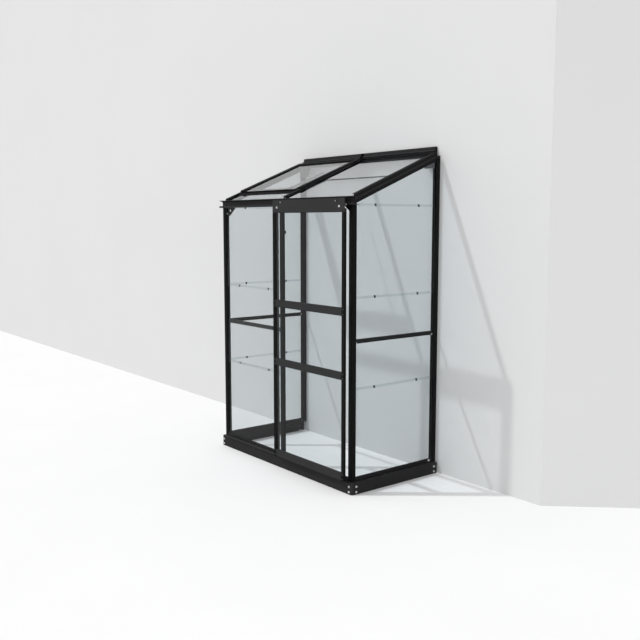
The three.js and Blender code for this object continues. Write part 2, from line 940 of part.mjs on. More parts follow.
function ventStay() {
  const lastHole = stayFirstHole + (stayHoles - 1) * stayHoleStep;
  const outline = [
    ...arc(lastHole, 0, stayDepth / 2, -quarterTurn, quarterTurn, webSteps),
    ...arc(0, 0, stayDepth / 2, quarterTurn, fullTurn - quarterTurn, webSteps),
  ];
  const pivot = circle(0, 0, axleRadius + runningGap, pinSides);
  const holes = [];
  for (let i = 0; i < stayHoles; i += 1) {
    holes.push(circle(stayFirstHole + i * stayHoleStep, 0, stayHoleRadius, holeSides));
  }
  const at = (points) => onRoof(placed(points, stayPivotRun, stayPivotDrop));
  const from = -stayPlace - stayThickness / 2;
  return alongX(at(outline), from, from + stayThickness, [pivot, ...holes].map(at));
}

function ventSlamBar() {
  const from = fit - postInner;
  const to = -barWidth / 2 - fit;
  const bar = [
    [slamFoot, 0],
    [slamTop, 0],
    [slamTop, slamSeat],
    [slamTop - bottomFlange / 2, slamSeat],
    [slamTop - bottomFlange / 2, slamSeat - sheet],
    [slamTop - sheet, slamSeat - sheet],
    [slamTop - sheet, sheet],
    [slamFoot, sheet],
  ];
  const pegRun = stayPivotRun + stayFirstHole;
  const plateEnd = -stayPlace - stayThickness / 2 - pegGap - pegReach;
  const plateOutline = rectangle(slamTop - fit, pegRun + boltHead, stayPivotDrop - boltHead, stayPivotDrop + boltHead);
  const plate = alongX(onRoof(plateOutline), plateEnd - pegPlate, plateEnd);
  const pegOutline = circle(pegRun, stayPivotDrop, boltRadius, holeSides);
  const peg = alongX(onRoof(pegOutline), plateEnd - fit, plateEnd + pegReach);
  return join(alongX(onRoof(bar), from, to), plate, peg);
}

// Door
function doorStilePiece() {
  const grooveFront = doorGlassInset - doorGlassGap;
  const grooveBack = doorGlassInset + pane + doorGlassGap;
  const grooveFloor = doorStile - doorGroove;
  const outline = [
    [0, 0],
    [doorStile, 0],
    [doorStile, grooveFront],
    [grooveFloor, grooveFront],
    [grooveFloor, grooveBack],
    [doorStile, grooveBack],
    [doorStile, doorDepth],
    [grooveFloor - sheet, doorDepth],
    [grooveFloor - sheet, sheet],
    [sheet, sheet],
    [sheet, doorDepth],
    [0, doorDepth],
  ];
  return outline;
}

function doorRailOutline(low, height) {
  const grooveFront = doorGlassInset - doorGlassGap;
  const grooveBack = doorGlassInset + pane + doorGlassGap;
  const high = low + height;
  return placed(
    [
      [0, low],
      [grooveFront, low],
      [grooveFront, low + doorGroove],
      [grooveBack, low + doorGroove],
      [grooveBack, low],
      [doorDepth, low],
      [doorDepth, high],
      [grooveBack, high],
      [grooveBack, high - doorGroove],
      [grooveFront, high - doorGroove],
      [grooveFront, high],
      [0, high],
    ],
    -doorFront,
    0,
  );
}

function doorRail(low) {
  const hole = rectangle(
    sheet - doorFront,
    doorDepth - sheet - doorFront,
    low + doorMidCore,
    low + doorMidRail - doorMidCore,
  );
  const from = doorLeft + doorStile + fit;
  const to = doorRight - doorStile - fit;
  return alongX(doorRailOutline(low, doorMidRail), from, to, [hole]);
}

function doorBottom() {
  const grooveFront = doorGlassInset - doorGlassGap - doorFront;
  const grooveBack = doorGlassInset + pane + doorGlassGap - doorFront;
  const high = doorBottomRail + doorBottomHeight;
  const outline = [
    [-doorFront, doorBottomRail],
    [sheet - doorFront, doorBottomRail],
    [sheet - doorFront, high - doorGroove - sheet],
    [-doorBack - sheet, high - doorGroove - sheet],
    [-doorBack - sheet, doorBottomRail],
    [-doorBack, doorBottomRail],
    [-doorBack, high],
    [grooveBack, high],
    [grooveBack, high - doorGroove],
    [grooveFront, high - doorGroove],
    [grooveFront, high],
    [-doorFront, high],
  ];
  return alongX(outline, doorLeft + doorStile + fit, doorRight - doorStile - fit);
}

function doorTop() {
  const low = doorHead - doorTopRail;
  const grooveFront = doorGlassInset - doorGlassGap - doorFront;
  const grooveBack = doorGlassInset + pane + doorGlassGap - doorFront;
  const outline = [
    [-doorFront, low],
    [grooveFront, low],
    [grooveFront, low + doorGroove],
    [grooveBack, low + doorGroove],
    [grooveBack, low],
    [-doorBack, low],
    [-doorBack, low + doorTopGlazing],
    [sheet - doorFront, low + doorTopGlazing],
    [sheet - doorFront, doorHead - sheet],
    [-doorBack, doorHead - sheet],
    [-doorBack, doorHead],
    [-doorFront, doorHead],
  ];
  const pieces = [];
  for (const x of [doorLeft + rollerInset, doorRight - rollerInset]) {
    const front = -doorFront - fit;
    const sleeveEnd = -rollerFront - fit;
    const pinEnd = rollerBack + fit;
    pieces.push(alongY(circle(x, rollerHeight, boltHead, boltSides), front - boltHeadHeight, fit - doorFront));
    pieces.push(alongY(circle(x, rollerHeight, axleSleeve, pinSides), fit - doorFront, sleeveEnd));
    pieces.push(alongY(circle(x, rollerHeight, axleRadius, pinSides), sleeveEnd - fit, pinEnd + fit));
    pieces.push(alongY(circle(x, rollerHeight, axleSleeve, pinSides), pinEnd, pinEnd + axleHead));
  }
  return join(alongX(outline, doorLeft, doorRight), ...pieces);
}

function doorPane(low, high) {
  const from = doorLeft + doorStile - doorGroove + play;
  const to = doorRight - doorStile + doorGroove - play;
  const front = doorGlassInset - doorFront;
  return alongX(rectangle(front, front + pane, low, high), from, to);
}

function doorRoller(x) {
  const bore = axleRadius + runningGap;
  const grooveFront = -grooveSlack;
  const grooveBack = beamWall + grooveSlack;
  const profile = [
    [bore, -rollerFront],
    [rollerRadius - rollerBevel, -rollerFront],
    [rollerRadius, grooveFront - rollerBevel],
    [grooveRadius, grooveFront],
    [grooveRadius, grooveBack],
    [rollerRadius, grooveBack + rollerBevel],
    [rollerRadius - rollerBevel, rollerBack],
    [bore, rollerBack],
    [bore, -rollerFront],
  ];
  const points = profile.map(([radius, along]) => new THREE.Vector2(radius, along));
  const wheel = new THREE.LatheGeometry(points, pinSides);
  return geometryOf(solidOf(wheel)).translate(x, 0, rollerHeight);
}

function doorGuide(x) {
  const slotFront = -runnerReach - guideSlack;
  const slotBack = sheet - runnerReach + guideSlack;
  const slotTop = standHeight + runnerHeight + guideSlack;
  const outline = [
    [fit - doorBack, guideLow],
    [slotFront, guideLow],
    [slotFront, slotTop],
    [slotBack, slotTop],
    [slotBack, guideLow],
    [guideReach, guideLow],
    [guideReach, guideHigh],
    [fit - doorBack, guideHigh],
  ];
  return alongX(outline, x - guideLength / 2, x + guideLength / 2);
}

// Assembly
add("base_front", baseFront(), anthracite);
addPair("base_side", baseSide(), anthracite);
addPair("base_corner", baseCorner(), anthracite);
addPair("base_wall_bracket", baseWallBracket(), anthracite);
add("sill_front", sillFront(), anthracite);
addPair("sill_side", sillSide(), anthracite);
addPair("front_post", post(postInsetFront, 1, eaveFloor - fit), anthracite);
addPair("rear_post", post(wallPlane, -1, wallBarFloor - fit), anthracite);
add("mullion", mullion(), anthracite);
add("eave_beam", eaveBeam(), anthracite);
addPair("eave_gusset", gusset(), anthracite);
addPair("rafter", gableRafter(), anthracite);
add("rafter_centre", centreRafter(), anthracite);
add("wall_bar", wallBar(), anthracite);
add("ridge_cover", ridgeCover(), anthracite);
addPair("side_bar", sideBar(), anthracite);
add("front_bar", frontBar(), anthracite);

sidePanes().forEach((geometry, i) => addPair(`side_glass_${i + 1}`, geometry, clearGlass));
frontPanes().forEach((geometry, i) => add(`front_glass_${i + 1}`, geometry, clearGlass));

const bayInner = webHalf + play;
const bayOuter = postX - barCore - play;
const slamPaneEnd = slamTop - sheet - play;
const upperUnder = glassSeat - lean;
const upperEnd = (ridgeFront - play - upperUnder * Math.sin(pitch)) / Math.cos(pitch);
add("roof_glass_lower_left", roofPane(-bayOuter, -bayInner, roofGlassFoot, slamPaneEnd, glassSeat), clearGlass);
add("roof_glass_lower_right", roofPane(bayInner, bayOuter, roofGlassFoot, roofLap + lap, glassSeat), clearGlass);
add("roof_glass_upper_right", roofPane(bayInner, bayOuter, roofLap, upperEnd, upperUnder), clearGlass);

add("vent_top_rail", ventTopRail(), anthracite);
add("vent_stile_left", ventStilePiece(ventLeft, 1), anthracite);
add("vent_stile_right", ventStilePiece(ventInner, -1), anthracite);
add("vent_bottom_rail", ventBottomRail(), anthracite);
add("vent_glass", ventGlass(), clearGlass);
add("vent_stay", ventStay(), bareAluminium);
add("vent_slam_bar", ventSlamBar(), anthracite);

const stileTop = doorHead - doorTopRail - fit;
const doorBottomTop = doorBottomRail + doorBottomHeight;
const paneInset = doorGroove - play;
add("door_top_rail", doorTop(), anthracite);
add("door_stile_left", alongZ(placed(doorStilePiece(), doorLeft, -doorFront), doorFoot, stileTop), anthracite);
add("door_stile_right", alongZ(placed(doorStilePiece(), doorRight, -doorFront, -1), doorFoot, stileTop), anthracite);
add("door_rail_upper", doorRail(doorUpperRail), anthracite);
add("door_rail_lower", doorRail(doorLowerRail), anthracite);
add("door_bottom_rail", doorBottom(), anthracite);
add("door_glass_top", doorPane(doorUpperRail + doorMidRail - paneInset, stileTop + paneInset), clearGlass);
add("door_glass_middle", doorPane(doorLowerRail + doorMidRail - paneInset, doorUpperRail + paneInset), clearGlass);
add("door_glass_bottom", doorPane(doorBottomTop - paneInset, doorLowerRail + paneInset), clearGlass);
add("door_roller_left", doorRoller(doorLeft + rollerInset), blackPlastic);
add("door_roller_right", doorRoller(doorRight - rollerInset), blackPlastic);
add("door_guide_left", doorGuide(doorLeft + guideInset), blackPlastic);
add("door_guide_right", doorGuide(doorRight - guideInset), blackPlastic);

export default house;
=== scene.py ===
import math

import bpy
import numpy as np
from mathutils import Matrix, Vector


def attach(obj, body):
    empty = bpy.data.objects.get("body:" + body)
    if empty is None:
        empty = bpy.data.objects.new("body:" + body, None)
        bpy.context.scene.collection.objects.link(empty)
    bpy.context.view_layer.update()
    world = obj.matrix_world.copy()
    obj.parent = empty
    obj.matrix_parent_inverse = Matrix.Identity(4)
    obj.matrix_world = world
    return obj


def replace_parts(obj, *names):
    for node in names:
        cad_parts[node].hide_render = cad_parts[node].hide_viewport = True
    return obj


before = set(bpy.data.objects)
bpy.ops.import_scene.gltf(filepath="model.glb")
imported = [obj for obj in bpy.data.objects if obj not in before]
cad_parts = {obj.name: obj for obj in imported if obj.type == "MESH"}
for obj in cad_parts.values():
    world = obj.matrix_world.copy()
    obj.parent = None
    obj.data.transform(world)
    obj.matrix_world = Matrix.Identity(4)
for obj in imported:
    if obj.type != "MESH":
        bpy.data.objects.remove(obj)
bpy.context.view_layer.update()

mm = 0.001
creaseAngle = math.radians(38)  # smooth shading stops at sharper edges
print("frame loaded:", len(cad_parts), "nodes")

# Where the house stands in the frame, in millimetres from the front of the base
house = {
    "frontShift": -317.35,  # y of the base's front in the frame
    "roofStart": 1607.0,
    "pitch": math.radians(22.05),
}


def houseToFrame(points):
    # house millimetres to frame metres: y moves by the front shift
    return (np.asarray(points, float) + [0.0, house["frontShift"], 0.0]) * mm


# Meshes from whole arrays

def gridQuads(rows, columns, closed):
    # quads between neighbouring rows and columns; closed joins the last column to the first
    i = np.arange(rows - 1)[:, None]
    j = np.arange(columns if closed else columns - 1)[None, :]
    k = (j + 1) % columns
    here, above = i * columns, (i + 1) * columns
    return np.stack([here + j, here + k, above + k, above + j], -1).reshape(-1, 4)


def ringFaces(rows, columns, loop=False):
    # a tube: quads round it, with a flat cap at each end or, in a loop, the last row joined to the first
    quads = gridQuads(rows + 1 if loop else rows, columns, True)
    if loop:
        return (quads % (rows * columns)).tolist()
    first = list(range(columns))[::-1]
    last = list(range((rows - 1) * columns, rows * columns))
    return quads.tolist() + [first, last]


def makePiece(name, points, faces, body, slot, material, smooth=True):
    # points in metres in the frame; the object stays at the origin
    mesh = bpy.data.meshes.new(name)
    mesh.from_pydata(points.tolist(), [], faces)
    mesh.materials.append(material)
    mesh.polygons.foreach_set("use_smooth", [smooth] * len(mesh.polygons))
    mesh.update()
    piece = bpy.data.objects.new(name, mesh)
    bpy.context.scene.collection.objects.link(piece)
    if smooth:
        edges = piece.modifiers.new("edges", "EDGE_SPLIT")
        edges.split_angle = creaseAngle
    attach(piece, body)
    return piece


def copies(points, faces, bases):
    # every basis (k, 3, 4) turns and moves one copy of the points: P = R p + t
    rotated = np.einsum("kab,nb->kna", bases[:, :, :3], points)
    placed = rotated + bases[:, None, :, 3]
    count = len(points)
    allFaces = [[index + k * count for index in face] for k in range(len(bases)) for face in faces]
    return placed.reshape(-1, 3), allFaces


def seatBases(heads):
    # a head is (x, y, z, direction) in house millimetres; the copy's z axis points along the direction
    places = houseToFrame([head[:3] for head in heads])
    normals = np.array([head[3] for head in heads], float)
    normals /= np.linalg.norm(normals, axis=1)[:, None]
    side = np.cross([0.0, 0.0, 1.0], normals)
    side /= np.linalg.norm(side, axis=1)[:, None]
    up = np.cross(normals, side)
    return np.concatenate([np.stack([side, up, normals], -1), places[:, :, None]], -1)


def carried(path, across, section, loop=False):
    # a section (u, v) carried along a path: P = path + u across + v outward; outward = tangent x across,
    # mitred at the corners: (n1 + n2) / (1 + n1 . n2); across is one vector, or one for each station
    path, section = np.asarray(path, float), np.asarray(section, float)
    across = np.broadcast_to(np.asarray(across, float), path.shape)
    step = np.roll(path, -1, 0) - path
    step /= np.linalg.norm(step, axis=1)[:, None]
    before = np.roll(step, 1, 0)
    if not loop:
        step[-1], before[0] = before[-1], step[0]
    n1, n2 = np.cross(before, across), np.cross(step, across)
    outward = (n1 + n2) / (1 + np.sum(n1 * n2, 1, keepdims=True))
    u, v = section[None, :, 0, None], section[None, :, 1, None]
    points = path[:, None, :] + u * across[:, None, :] + v * outward[:, None, :]
    return houseToFrame(points.reshape(-1, 3)), ringFaces(len(path), len(section), loop)


def joined(parts):
    # several (points, faces) in one mesh: each one's faces move on by the points before it
    pointSets, faceSets = zip(*parts)
    starts = np.cumsum([0] + [len(points) for points in pointSets]).tolist()
    faces = [[index + start for index in face] for some, start in zip(faceSets, starts) for face in some]
    return np.concatenate(pointSets), faces


# Nodes

def addNode(tree, kind, values=None, **settings):
    node = tree.nodes.new(kind)
    for key, value in settings.items():
        setattr(node, key, value)
    for key, value in (values or {}).items():
        node.inputs[key].default_value = value
    return node


def feed(tree, socket, value):
    # a number or a colour is set on the socket, another node's output is linked to it
    if isinstance(value, (int, float, tuple)):
        socket.default_value = value
    elif value is not None:
        tree.links.new(value, socket)


def mathNode(tree, operation, first, second=None, third=None, clamp=False):
    node = addNode(tree, "ShaderNodeMath", operation=operation, use_clamp=clamp)
    for socket, value in zip(node.inputs, (first, second, third)):
        feed(tree, socket, value)
    return node.outputs[0]


def mixColour(tree, share, first, second):
    # a Mix node's colours come in at its sockets 6 and 7 and go out at 2
    node = addNode(tree, "ShaderNodeMix", data_type="RGBA")
    for index, value in zip((0, 6, 7), (share, first, second)):
        feed(tree, node.inputs[index], value)
    return node.outputs[2]


def mixNumber(tree, share, first, second):
    # a Mix node's numbers come in at its sockets 2 and 3 and go out at 0
    node = addNode(tree, "ShaderNodeMix", data_type="FLOAT")
    for index, value in zip((0, 2, 3), (share, first, second)):
        feed(tree, node.inputs[index], value)
    return node.outputs[0]


def noise(tree, vector, scale, detail=2.0, roughness=0.5):
    node = addNode(tree, "ShaderNodeTexNoise", {"Scale": scale, "Detail": detail, "Roughness": roughness})
    tree.links.new(vector, node.inputs["Vector"])
    return node.outputs["Fac"]


def mapRange(tree, value, fromLow, fromHigh, toLow, toHigh):
    node = addNode(tree, "ShaderNodeMapRange", {1: fromLow, 2: fromHigh, 3: toLow, 4: toHigh}, clamp=True)
    tree.links.new(value, node.inputs[0])
    return node.outputs[0]


def newGroup(name, inputs, outputs):
    tree = bpy.data.node_groups.new(name, "ShaderNodeTree")
    for label, kind, value in inputs:
        socket = tree.interface.new_socket(name=label, in_out="INPUT", socket_type=kind)
        if value is not None:
            socket.default_value = value
    for label, kind in outputs:
        tree.interface.new_socket(name=label, in_out="OUTPUT", socket_type=kind)
    return tree, tree.nodes.new("NodeGroupInput"), tree.nodes.new("NodeGroupOutput")


numberSocket, colourSocket, vectorSocket = "NodeSocketFloat", "NodeSocketColor", "NodeSocketVector"

# What the noises inside the shared groups do: scales are per metre
noises = {
    "coatCloud": 6.0,
    "coatRoughness": 45.0,
    "roughnessSwing": 0.22,
    "lineShare": 0.45,  # of the drawn lines' height to the orange peel's
    "wear": 120.0,
    "dust": 30.0,
    "smear": 14.0,
    "glassWave": 2.2,
}


def makePowderGroup():
    # colour = coat x (1 + mottle x slow noise); roughness follows a middle noise;
    # height = fine orange peel + faint drawn lines along the bar, whose direction shrinks the noise's scale
    tree, start, end = newGroup(
        "powderCoat",
        [("Vector", vectorSocket, None), ("Coat", colourSocket, (0.006, 0.006, 0.0065, 1)),
         ("Mottle", numberSocket, 0.3), ("Roughness", numberSocket, 0.42), ("Peel", numberSocket, 800.0),
         ("Lines", vectorSocket, (300.0, 300.0, 4.0))],
        [("Colour", colourSocket), ("Roughness", numberSocket), ("Height", numberSocket)],
    )
    cloud = mathNode(tree, "SUBTRACT", noise(tree, start.outputs["Vector"], noises["coatCloud"], 3.0), 0.5)
    shade = mathNode(tree, "MULTIPLY_ADD", cloud, start.outputs["Mottle"], 1.0)
    scaled = addNode(tree, "ShaderNodeVectorMath", operation="SCALE")
    tree.links.new(start.outputs["Coat"], scaled.inputs[0])
    tree.links.new(shade, scaled.inputs["Scale"])
    tree.links.new(scaled.outputs[0], end.inputs["Colour"])
    middle = noise(tree, start.outputs["Vector"], noises["coatRoughness"], 3.0)
    change = mathNode(tree, "MULTIPLY", mathNode(tree, "SUBTRACT", middle, 0.5), noises["roughnessSwing"])
    tree.links.new(mathNode(tree, "ADD", start.outputs["Roughness"], change), end.inputs["Roughness"])
    peel = addNode(tree, "ShaderNodeTexNoise", {"Detail": 2.0})
    tree.links.new(start.outputs["Vector"], peel.inputs["Vector"])
    tree.links.new(start.outputs["Peel"], peel.inputs["Scale"])
    stretch = addNode(tree, "ShaderNodeVectorMath", operation="MULTIPLY")
    tree.links.new(start.outputs["Vector"], stretch.inputs[0])
    tree.links.new(start.outputs["Lines"], stretch.inputs[1])
    lines = noise(tree, stretch.outputs[0], 1.0, 2.0)
    height = mathNode(tree, "MULTIPLY_ADD", lines, noises["lineShare"], peel.outputs["Fac"])
    tree.links.new(height, end.inputs["Height"])
    return tree


def makeEdgeGroup():
    # mask = how far the rounded normal turns from the flat one, broken up by noise x amount;
    # the rounded normal goes out too
    tree, start, end = newGroup(
        "edgeWearAndHighlight",
        [("Vector", vectorSocket, None), ("Radius", numberSocket, 0.0008), ("Amount", numberSocket, 0.5)],
        [("Mask", numberSocket), ("Normal", vectorSocket)],
    )
    bevel = addNode(tree, "ShaderNodeBevel", samples=4)
    tree.links.new(start.outputs["Radius"], bevel.inputs["Radius"])
    geometry = addNode(tree, "ShaderNodeNewGeometry")
    dot = addNode(tree, "ShaderNodeVectorMath", operation="DOT_PRODUCT")
    tree.links.new(bevel.outputs[0], dot.inputs[0])
    tree.links.new(geometry.outputs["Normal"], dot.inputs[1])
    turned = mapRange(tree, mathNode(tree, "SUBTRACT", 1.0, dot.outputs["Value"]), 0.02, 0.25, 0.0, 1.0)
    specks = noise(tree, start.outputs["Vector"], noises["wear"], 4.0)
    broken = mathNode(tree, "MULTIPLY", turned, mapRange(tree, specks, 0.42, 0.62, 0.35, 1.0))
    mask = mathNode(tree, "MULTIPLY", broken, start.outputs["Amount"])
    tree.links.new(mask, end.inputs["Mask"])
    tree.links.new(bevel.outputs[0], end.inputs["Normal"])
    return tree


def makeDustGroup():
    # mask = upward share of the surface x cloudy noise x amount
    tree, start, end = newGroup(
        "dustFall",
        [("Vector", vectorSocket, None), ("Normal", vectorSocket, None), ("Amount", numberSocket, 0.1)],
        [("Mask", numberSocket)],
    )
    split = addNode(tree, "ShaderNodeSeparateXYZ")
    tree.links.new(start.outputs["Normal"], split.inputs[0])
    upward = mapRange(tree, split.outputs["Z"], 0.2, 1.0, 0.0, 1.0)
    cloud = noise(tree, start.outputs["Vector"], noises["dust"], 5.0, 0.65)
    fallen = mathNode(tree, "MULTIPLY", upward, mapRange(tree, cloud, 0.35, 0.7, 0.2, 1.0))
    mask = mathNode(tree, "MULTIPLY", fallen, start.outputs["Amount"])
    tree.links.new(mask, end.inputs["Mask"])
    return tree


def makeGlassGroup():
    # edge = where the surface isn't the pane's face; roughness = faint smears where a cloudy noise is high;
    # height = a very slow wave of drawn glass
    tree, start, end = newGroup(
        "glassFilm",
        [("Vector", vectorSocket, None), ("Normal", vectorSocket, None),
         ("Face", vectorSocket, (1.0, 0.0, 0.0)), ("Smear", numberSocket, 0.03)],
        [("Edge", numberSocket), ("Roughness", numberSocket), ("Height", numberSocket)],
    )
    dot = addNode(tree, "ShaderNodeVectorMath", operation="DOT_PRODUCT")
    tree.links.new(start.outputs["Normal"], dot.inputs[0])
    tree.links.new(start.outputs["Face"], dot.inputs[1])
    facing = mathNode(tree, "ABSOLUTE", dot.outputs["Value"])
    tree.links.new(mapRange(tree, facing, 0.7, 0.9, 1.0, 0.0), end.inputs["Edge"])
    cloud = noise(tree, start.outputs["Vector"], noises["smear"], 5.0, 0.7)
    smudge = mapRange(tree, cloud, 0.5, 0.75, 0.0, 1.0)
    tree.links.new(mathNode(tree, "MULTIPLY", smudge, start.outputs["Smear"]), end.inputs["Roughness"])
    tree.links.new(noise(tree, start.outputs["Vector"], noises["glassWave"], 1.0), end.inputs["Height"])
    return tree


powderGroup = makePowderGroup()
edgeGroup = makeEdgeGroup()
dustGroup = makeDustGroup()
glassGroup = makeGlassGroup()


def placeGroup(tree, group, values):
    node = tree.nodes.new("ShaderNodeGroup")
    node.node_tree = group
    for key, value in values.items():
        node.inputs[key].default_value = value
    return node


def newMaterial(name):
    material = bpy.data.materials.new(name)
    material.use_nodes = True
    tree = material.node_tree
    shader = tree.nodes["Principled BSDF"]
    place = addNode(tree, "ShaderNodeTexCoord")
    return material, tree, shader, place


def addRelief(tree, shader, height, strength, depth, normal=None):
    # fine relief from the height, laid over the rounded edges where a normal comes in
    bump = addNode(tree, "ShaderNodeBump", {"Strength": strength, "Distance": depth})
    tree.links.new(height, bump.inputs["Height"])
    if normal is not None:
        tree.links.new(normal, bump.inputs["Normal"])
    tree.links.new(bump.outputs[0], shader.inputs["Normal"])


def letThrough(tree, shader, kept, throughColour):
    # kept = 1 shows the surface, 0 lets the ray through it, tinted by the colour
    clear = addNode(tree, "ShaderNodeBsdfTransparent", {"Color": throughColour})
    mix = addNode(tree, "ShaderNodeMixShader")
    tree.links.new(kept, mix.inputs[0])
    tree.links.new(clear.outputs[0], mix.inputs[1])
    tree.links.new(shader.outputs[0], mix.inputs[2])
    tree.links.new(mix.outputs[0], tree.nodes["Material Output"].inputs["Surface"])


powder = {
    "coat": (0.030, 0.030, 0.031, 1),
    # the paler coat on the edges: wear on the powder and a painted highlight along the edges
    "wearAndHighlight": (0.065, 0.065, 0.068, 1),
    "dust": (0.30, 0.29, 0.27, 1),
    "mottle": 0.35,
    "roughness": 0.45,
    "specular": 0.2,
    "edgeRadius": 0.0009,
    "edgeAmount": 0.5,
    "dustAmount": 0.03,
    "peelScale": 850.0,
    "bump": 0.10,
    "bumpDepth": 0.0004,
    "seam": None,  # x of a joint between two lengths of the bar
    "seamHalf": 0.0115,
    "seamBlur": 0.0006,
    "seamCoat": (0.0005, 0.0005, 0.0005, 1),
}


def powderMaterial(name, lines, changes=None):
    # black powder coat over an extrusion; lines is the noise scale in x, y and z, small along the bar;
    # near the seam, where |x - seam| < seamHalf, the coat turns to a dark gap
    values = {**powder, **(changes or {})}
    material, tree, shader, place = newMaterial(name)
    coat = placeGroup(tree, powderGroup, {
        "Coat": values["coat"], "Mottle": values["mottle"], "Roughness": values["roughness"],
        "Peel": values["peelScale"], "Lines": lines,
    })
    edge = placeGroup(tree, edgeGroup, {"Radius": values["edgeRadius"], "Amount": values["edgeAmount"]})
    dust = placeGroup(tree, dustGroup, {"Amount": values["dustAmount"]})
    for node in (coat, edge, dust):
        tree.links.new(place.outputs["Object"], node.inputs["Vector"])
    tree.links.new(place.outputs["Normal"], dust.inputs["Normal"])
    # the edges take the paler coat: wear on the powder and a painted highlight along the edges
    wearAndHighlight = mixColour(tree, edge.outputs["Mask"], coat.outputs["Colour"], values["wearAndHighlight"])
    dusty = mixColour(tree, dust.outputs["Mask"], wearAndHighlight, values["dust"])
    shader.inputs["Specular IOR Level"].default_value = values["specular"]
    if values["seam"] is not None:
        split = addNode(tree, "ShaderNodeSeparateXYZ")
        tree.links.new(place.outputs["Object"], split.inputs[0])
        aside = mathNode(tree, "SUBTRACT", split.outputs["X"], values["seam"])
        away = mathNode(tree, "ABSOLUTE", aside)
        gap = mapRange(tree, away, values["seamHalf"], values["seamHalf"] + values["seamBlur"], 1.0, 0.0)
        dusty = mixColour(tree, gap, dusty, values["seamCoat"])
        level = mathNode(tree, "MULTIPLY_ADD", gap, -values["specular"], values["specular"])
        tree.links.new(level, shader.inputs["Specular IOR Level"])
    tree.links.new(dusty, shader.inputs["Base Color"])
    tree.links.new(coat.outputs["Roughness"], shader.inputs["Roughness"])
    rounded = edge.outputs["Normal"]
    addRelief(tree, shader, coat.outputs["Height"], values["bump"], values["bumpDepth"], rounded)
    return material


glass = {
    "tint": (0.888, 0.922, 0.932, 1),  # of light that goes through both faces
    "edgeTint": (0.35, 0.62, 0.55, 1),
    "shadowTint": (0.915, 0.936, 0.948, 1),  # of one face, for shadows and soft light
    "refraction": 1.5,
    "smear": 0.03,
    "bump": 0.015,
    "bumpDepth": 0.001,
}


def glassMaterial(name, face, changes=None):
    # clear glass with greener edges; shadow rays and diffuse rays go straight through, a little tinted
    values = {**glass, **(changes or {})}
    material, tree, shader, place = newMaterial(name)
    film = placeGroup(tree, glassGroup, {"Face": face, "Smear": values["smear"]})
    tree.links.new(place.outputs["Object"], film.inputs["Vector"])
    tree.links.new(place.outputs["Normal"], film.inputs["Normal"])
    tint = mixColour(tree, film.outputs["Edge"], values["tint"], values["edgeTint"])
    tree.links.new(tint, shader.inputs["Base Color"])
    tree.links.new(film.outputs["Roughness"], shader.inputs["Roughness"])
    shader.inputs["Transmission Weight"].default_value = 1.0
    shader.inputs["IOR"].default_value = values["refraction"]
    addRelief(tree, shader, film.outputs["Height"], values["bump"], values["bumpDepth"])
    rays = addNode(tree, "ShaderNodeLightPath")
    soft = mathNode(tree, "MAXIMUM", rays.outputs["Is Shadow Ray"], rays.outputs["Is Diffuse Ray"])
    letThrough(tree, shader, mathNode(tree, "SUBTRACT", 1.0, soft), values["shadowTint"])
    return material


metal = {
    "zinc": (0.86, 0.87, 0.88, 1),
    "stain": (0.58, 0.58, 0.59, 1),
    # the two dark greys below: the dark metal of the door screws and glass clips, and painted shade on the
    # inner bolts
    "darkAndShadedZinc": (0.20, 0.20, 0.21, 1),
    "darkAndShadedStain": (0.10, 0.10, 0.105, 1),
    "mill": (0.42, 0.42, 0.43, 1),
    "millStain": (0.24, 0.24, 0.25, 1),
    "bump": 0.12,
    "bumpDepth": 0.0003,
    "edgeRadius": 0.0004,
    "edgeAmount": 0.4,
}


def metalMaterial(name, light, dark, roughness, grain, metallic=1.0):
    # bare or plated metal: a cloudy mix of two greys, roughness from the same noise, pits from one six times
    # finer
    material, tree, shader, place = newMaterial(name)
    cloud = noise(tree, place.outputs["Object"], grain, 4.0, 0.6)
    stained = mixColour(tree, mapRange(tree, cloud, 0.35, 0.75, 0.0, 1.0), light, dark)
    tree.links.new(stained, shader.inputs["Base Color"])
    dulled = mapRange(tree, cloud, 0.3, 0.7, roughness - 0.07, roughness + 0.1)
    tree.links.new(dulled, shader.inputs["Roughness"])
    shader.inputs["Metallic"].default_value = metallic
    edge = placeGroup(tree, edgeGroup, {"Radius": metal["edgeRadius"], "Amount": metal["edgeAmount"]})
    tree.links.new(place.outputs["Object"], edge.inputs["Vector"])
    pits = noise(tree, place.outputs["Object"], grain * 6, 3.0)
    addRelief(tree, shader, pits, metal["bump"], metal["bumpDepth"], edge.outputs["Normal"])
    return material


polymer = {
    "paleShare": 0.35,
    "bump": 0.15,
    "bumpDepth": 0.0003,
    "edgeRadius": 0.0004,
    "edgeAmount": 0.4,
}


def polymerMaterial(name, base, pale, roughness, grain):
    # nylon, rubber or bristles: base colour made paler by fine noise and on rubbed edges, fine matt texture
    material, tree, shader, place = newMaterial(name)
    fine = noise(tree, place.outputs["Object"], grain, 3.0)
    edge = placeGroup(tree, edgeGroup, {"Radius": polymer["edgeRadius"], "Amount": polymer["edgeAmount"]})
    tree.links.new(place.outputs["Object"], edge.inputs["Vector"])
    specks = mapRange(tree, fine, 0.4, 0.8, 0.0, polymer["paleShare"])
    share = mathNode(tree, "ADD", specks, edge.outputs["Mask"], clamp=True)
    tree.links.new(mixColour(tree, share, base, pale), shader.inputs["Base Color"])
    matt = mapRange(tree, fine, 0.3, 0.7, roughness - 0.06, roughness + 0.06)
    tree.links.new(matt, shader.inputs["Roughness"])
    addRelief(tree, shader, fine, polymer["bump"], polymer["bumpDepth"], edge.outputs["Normal"])
    return material


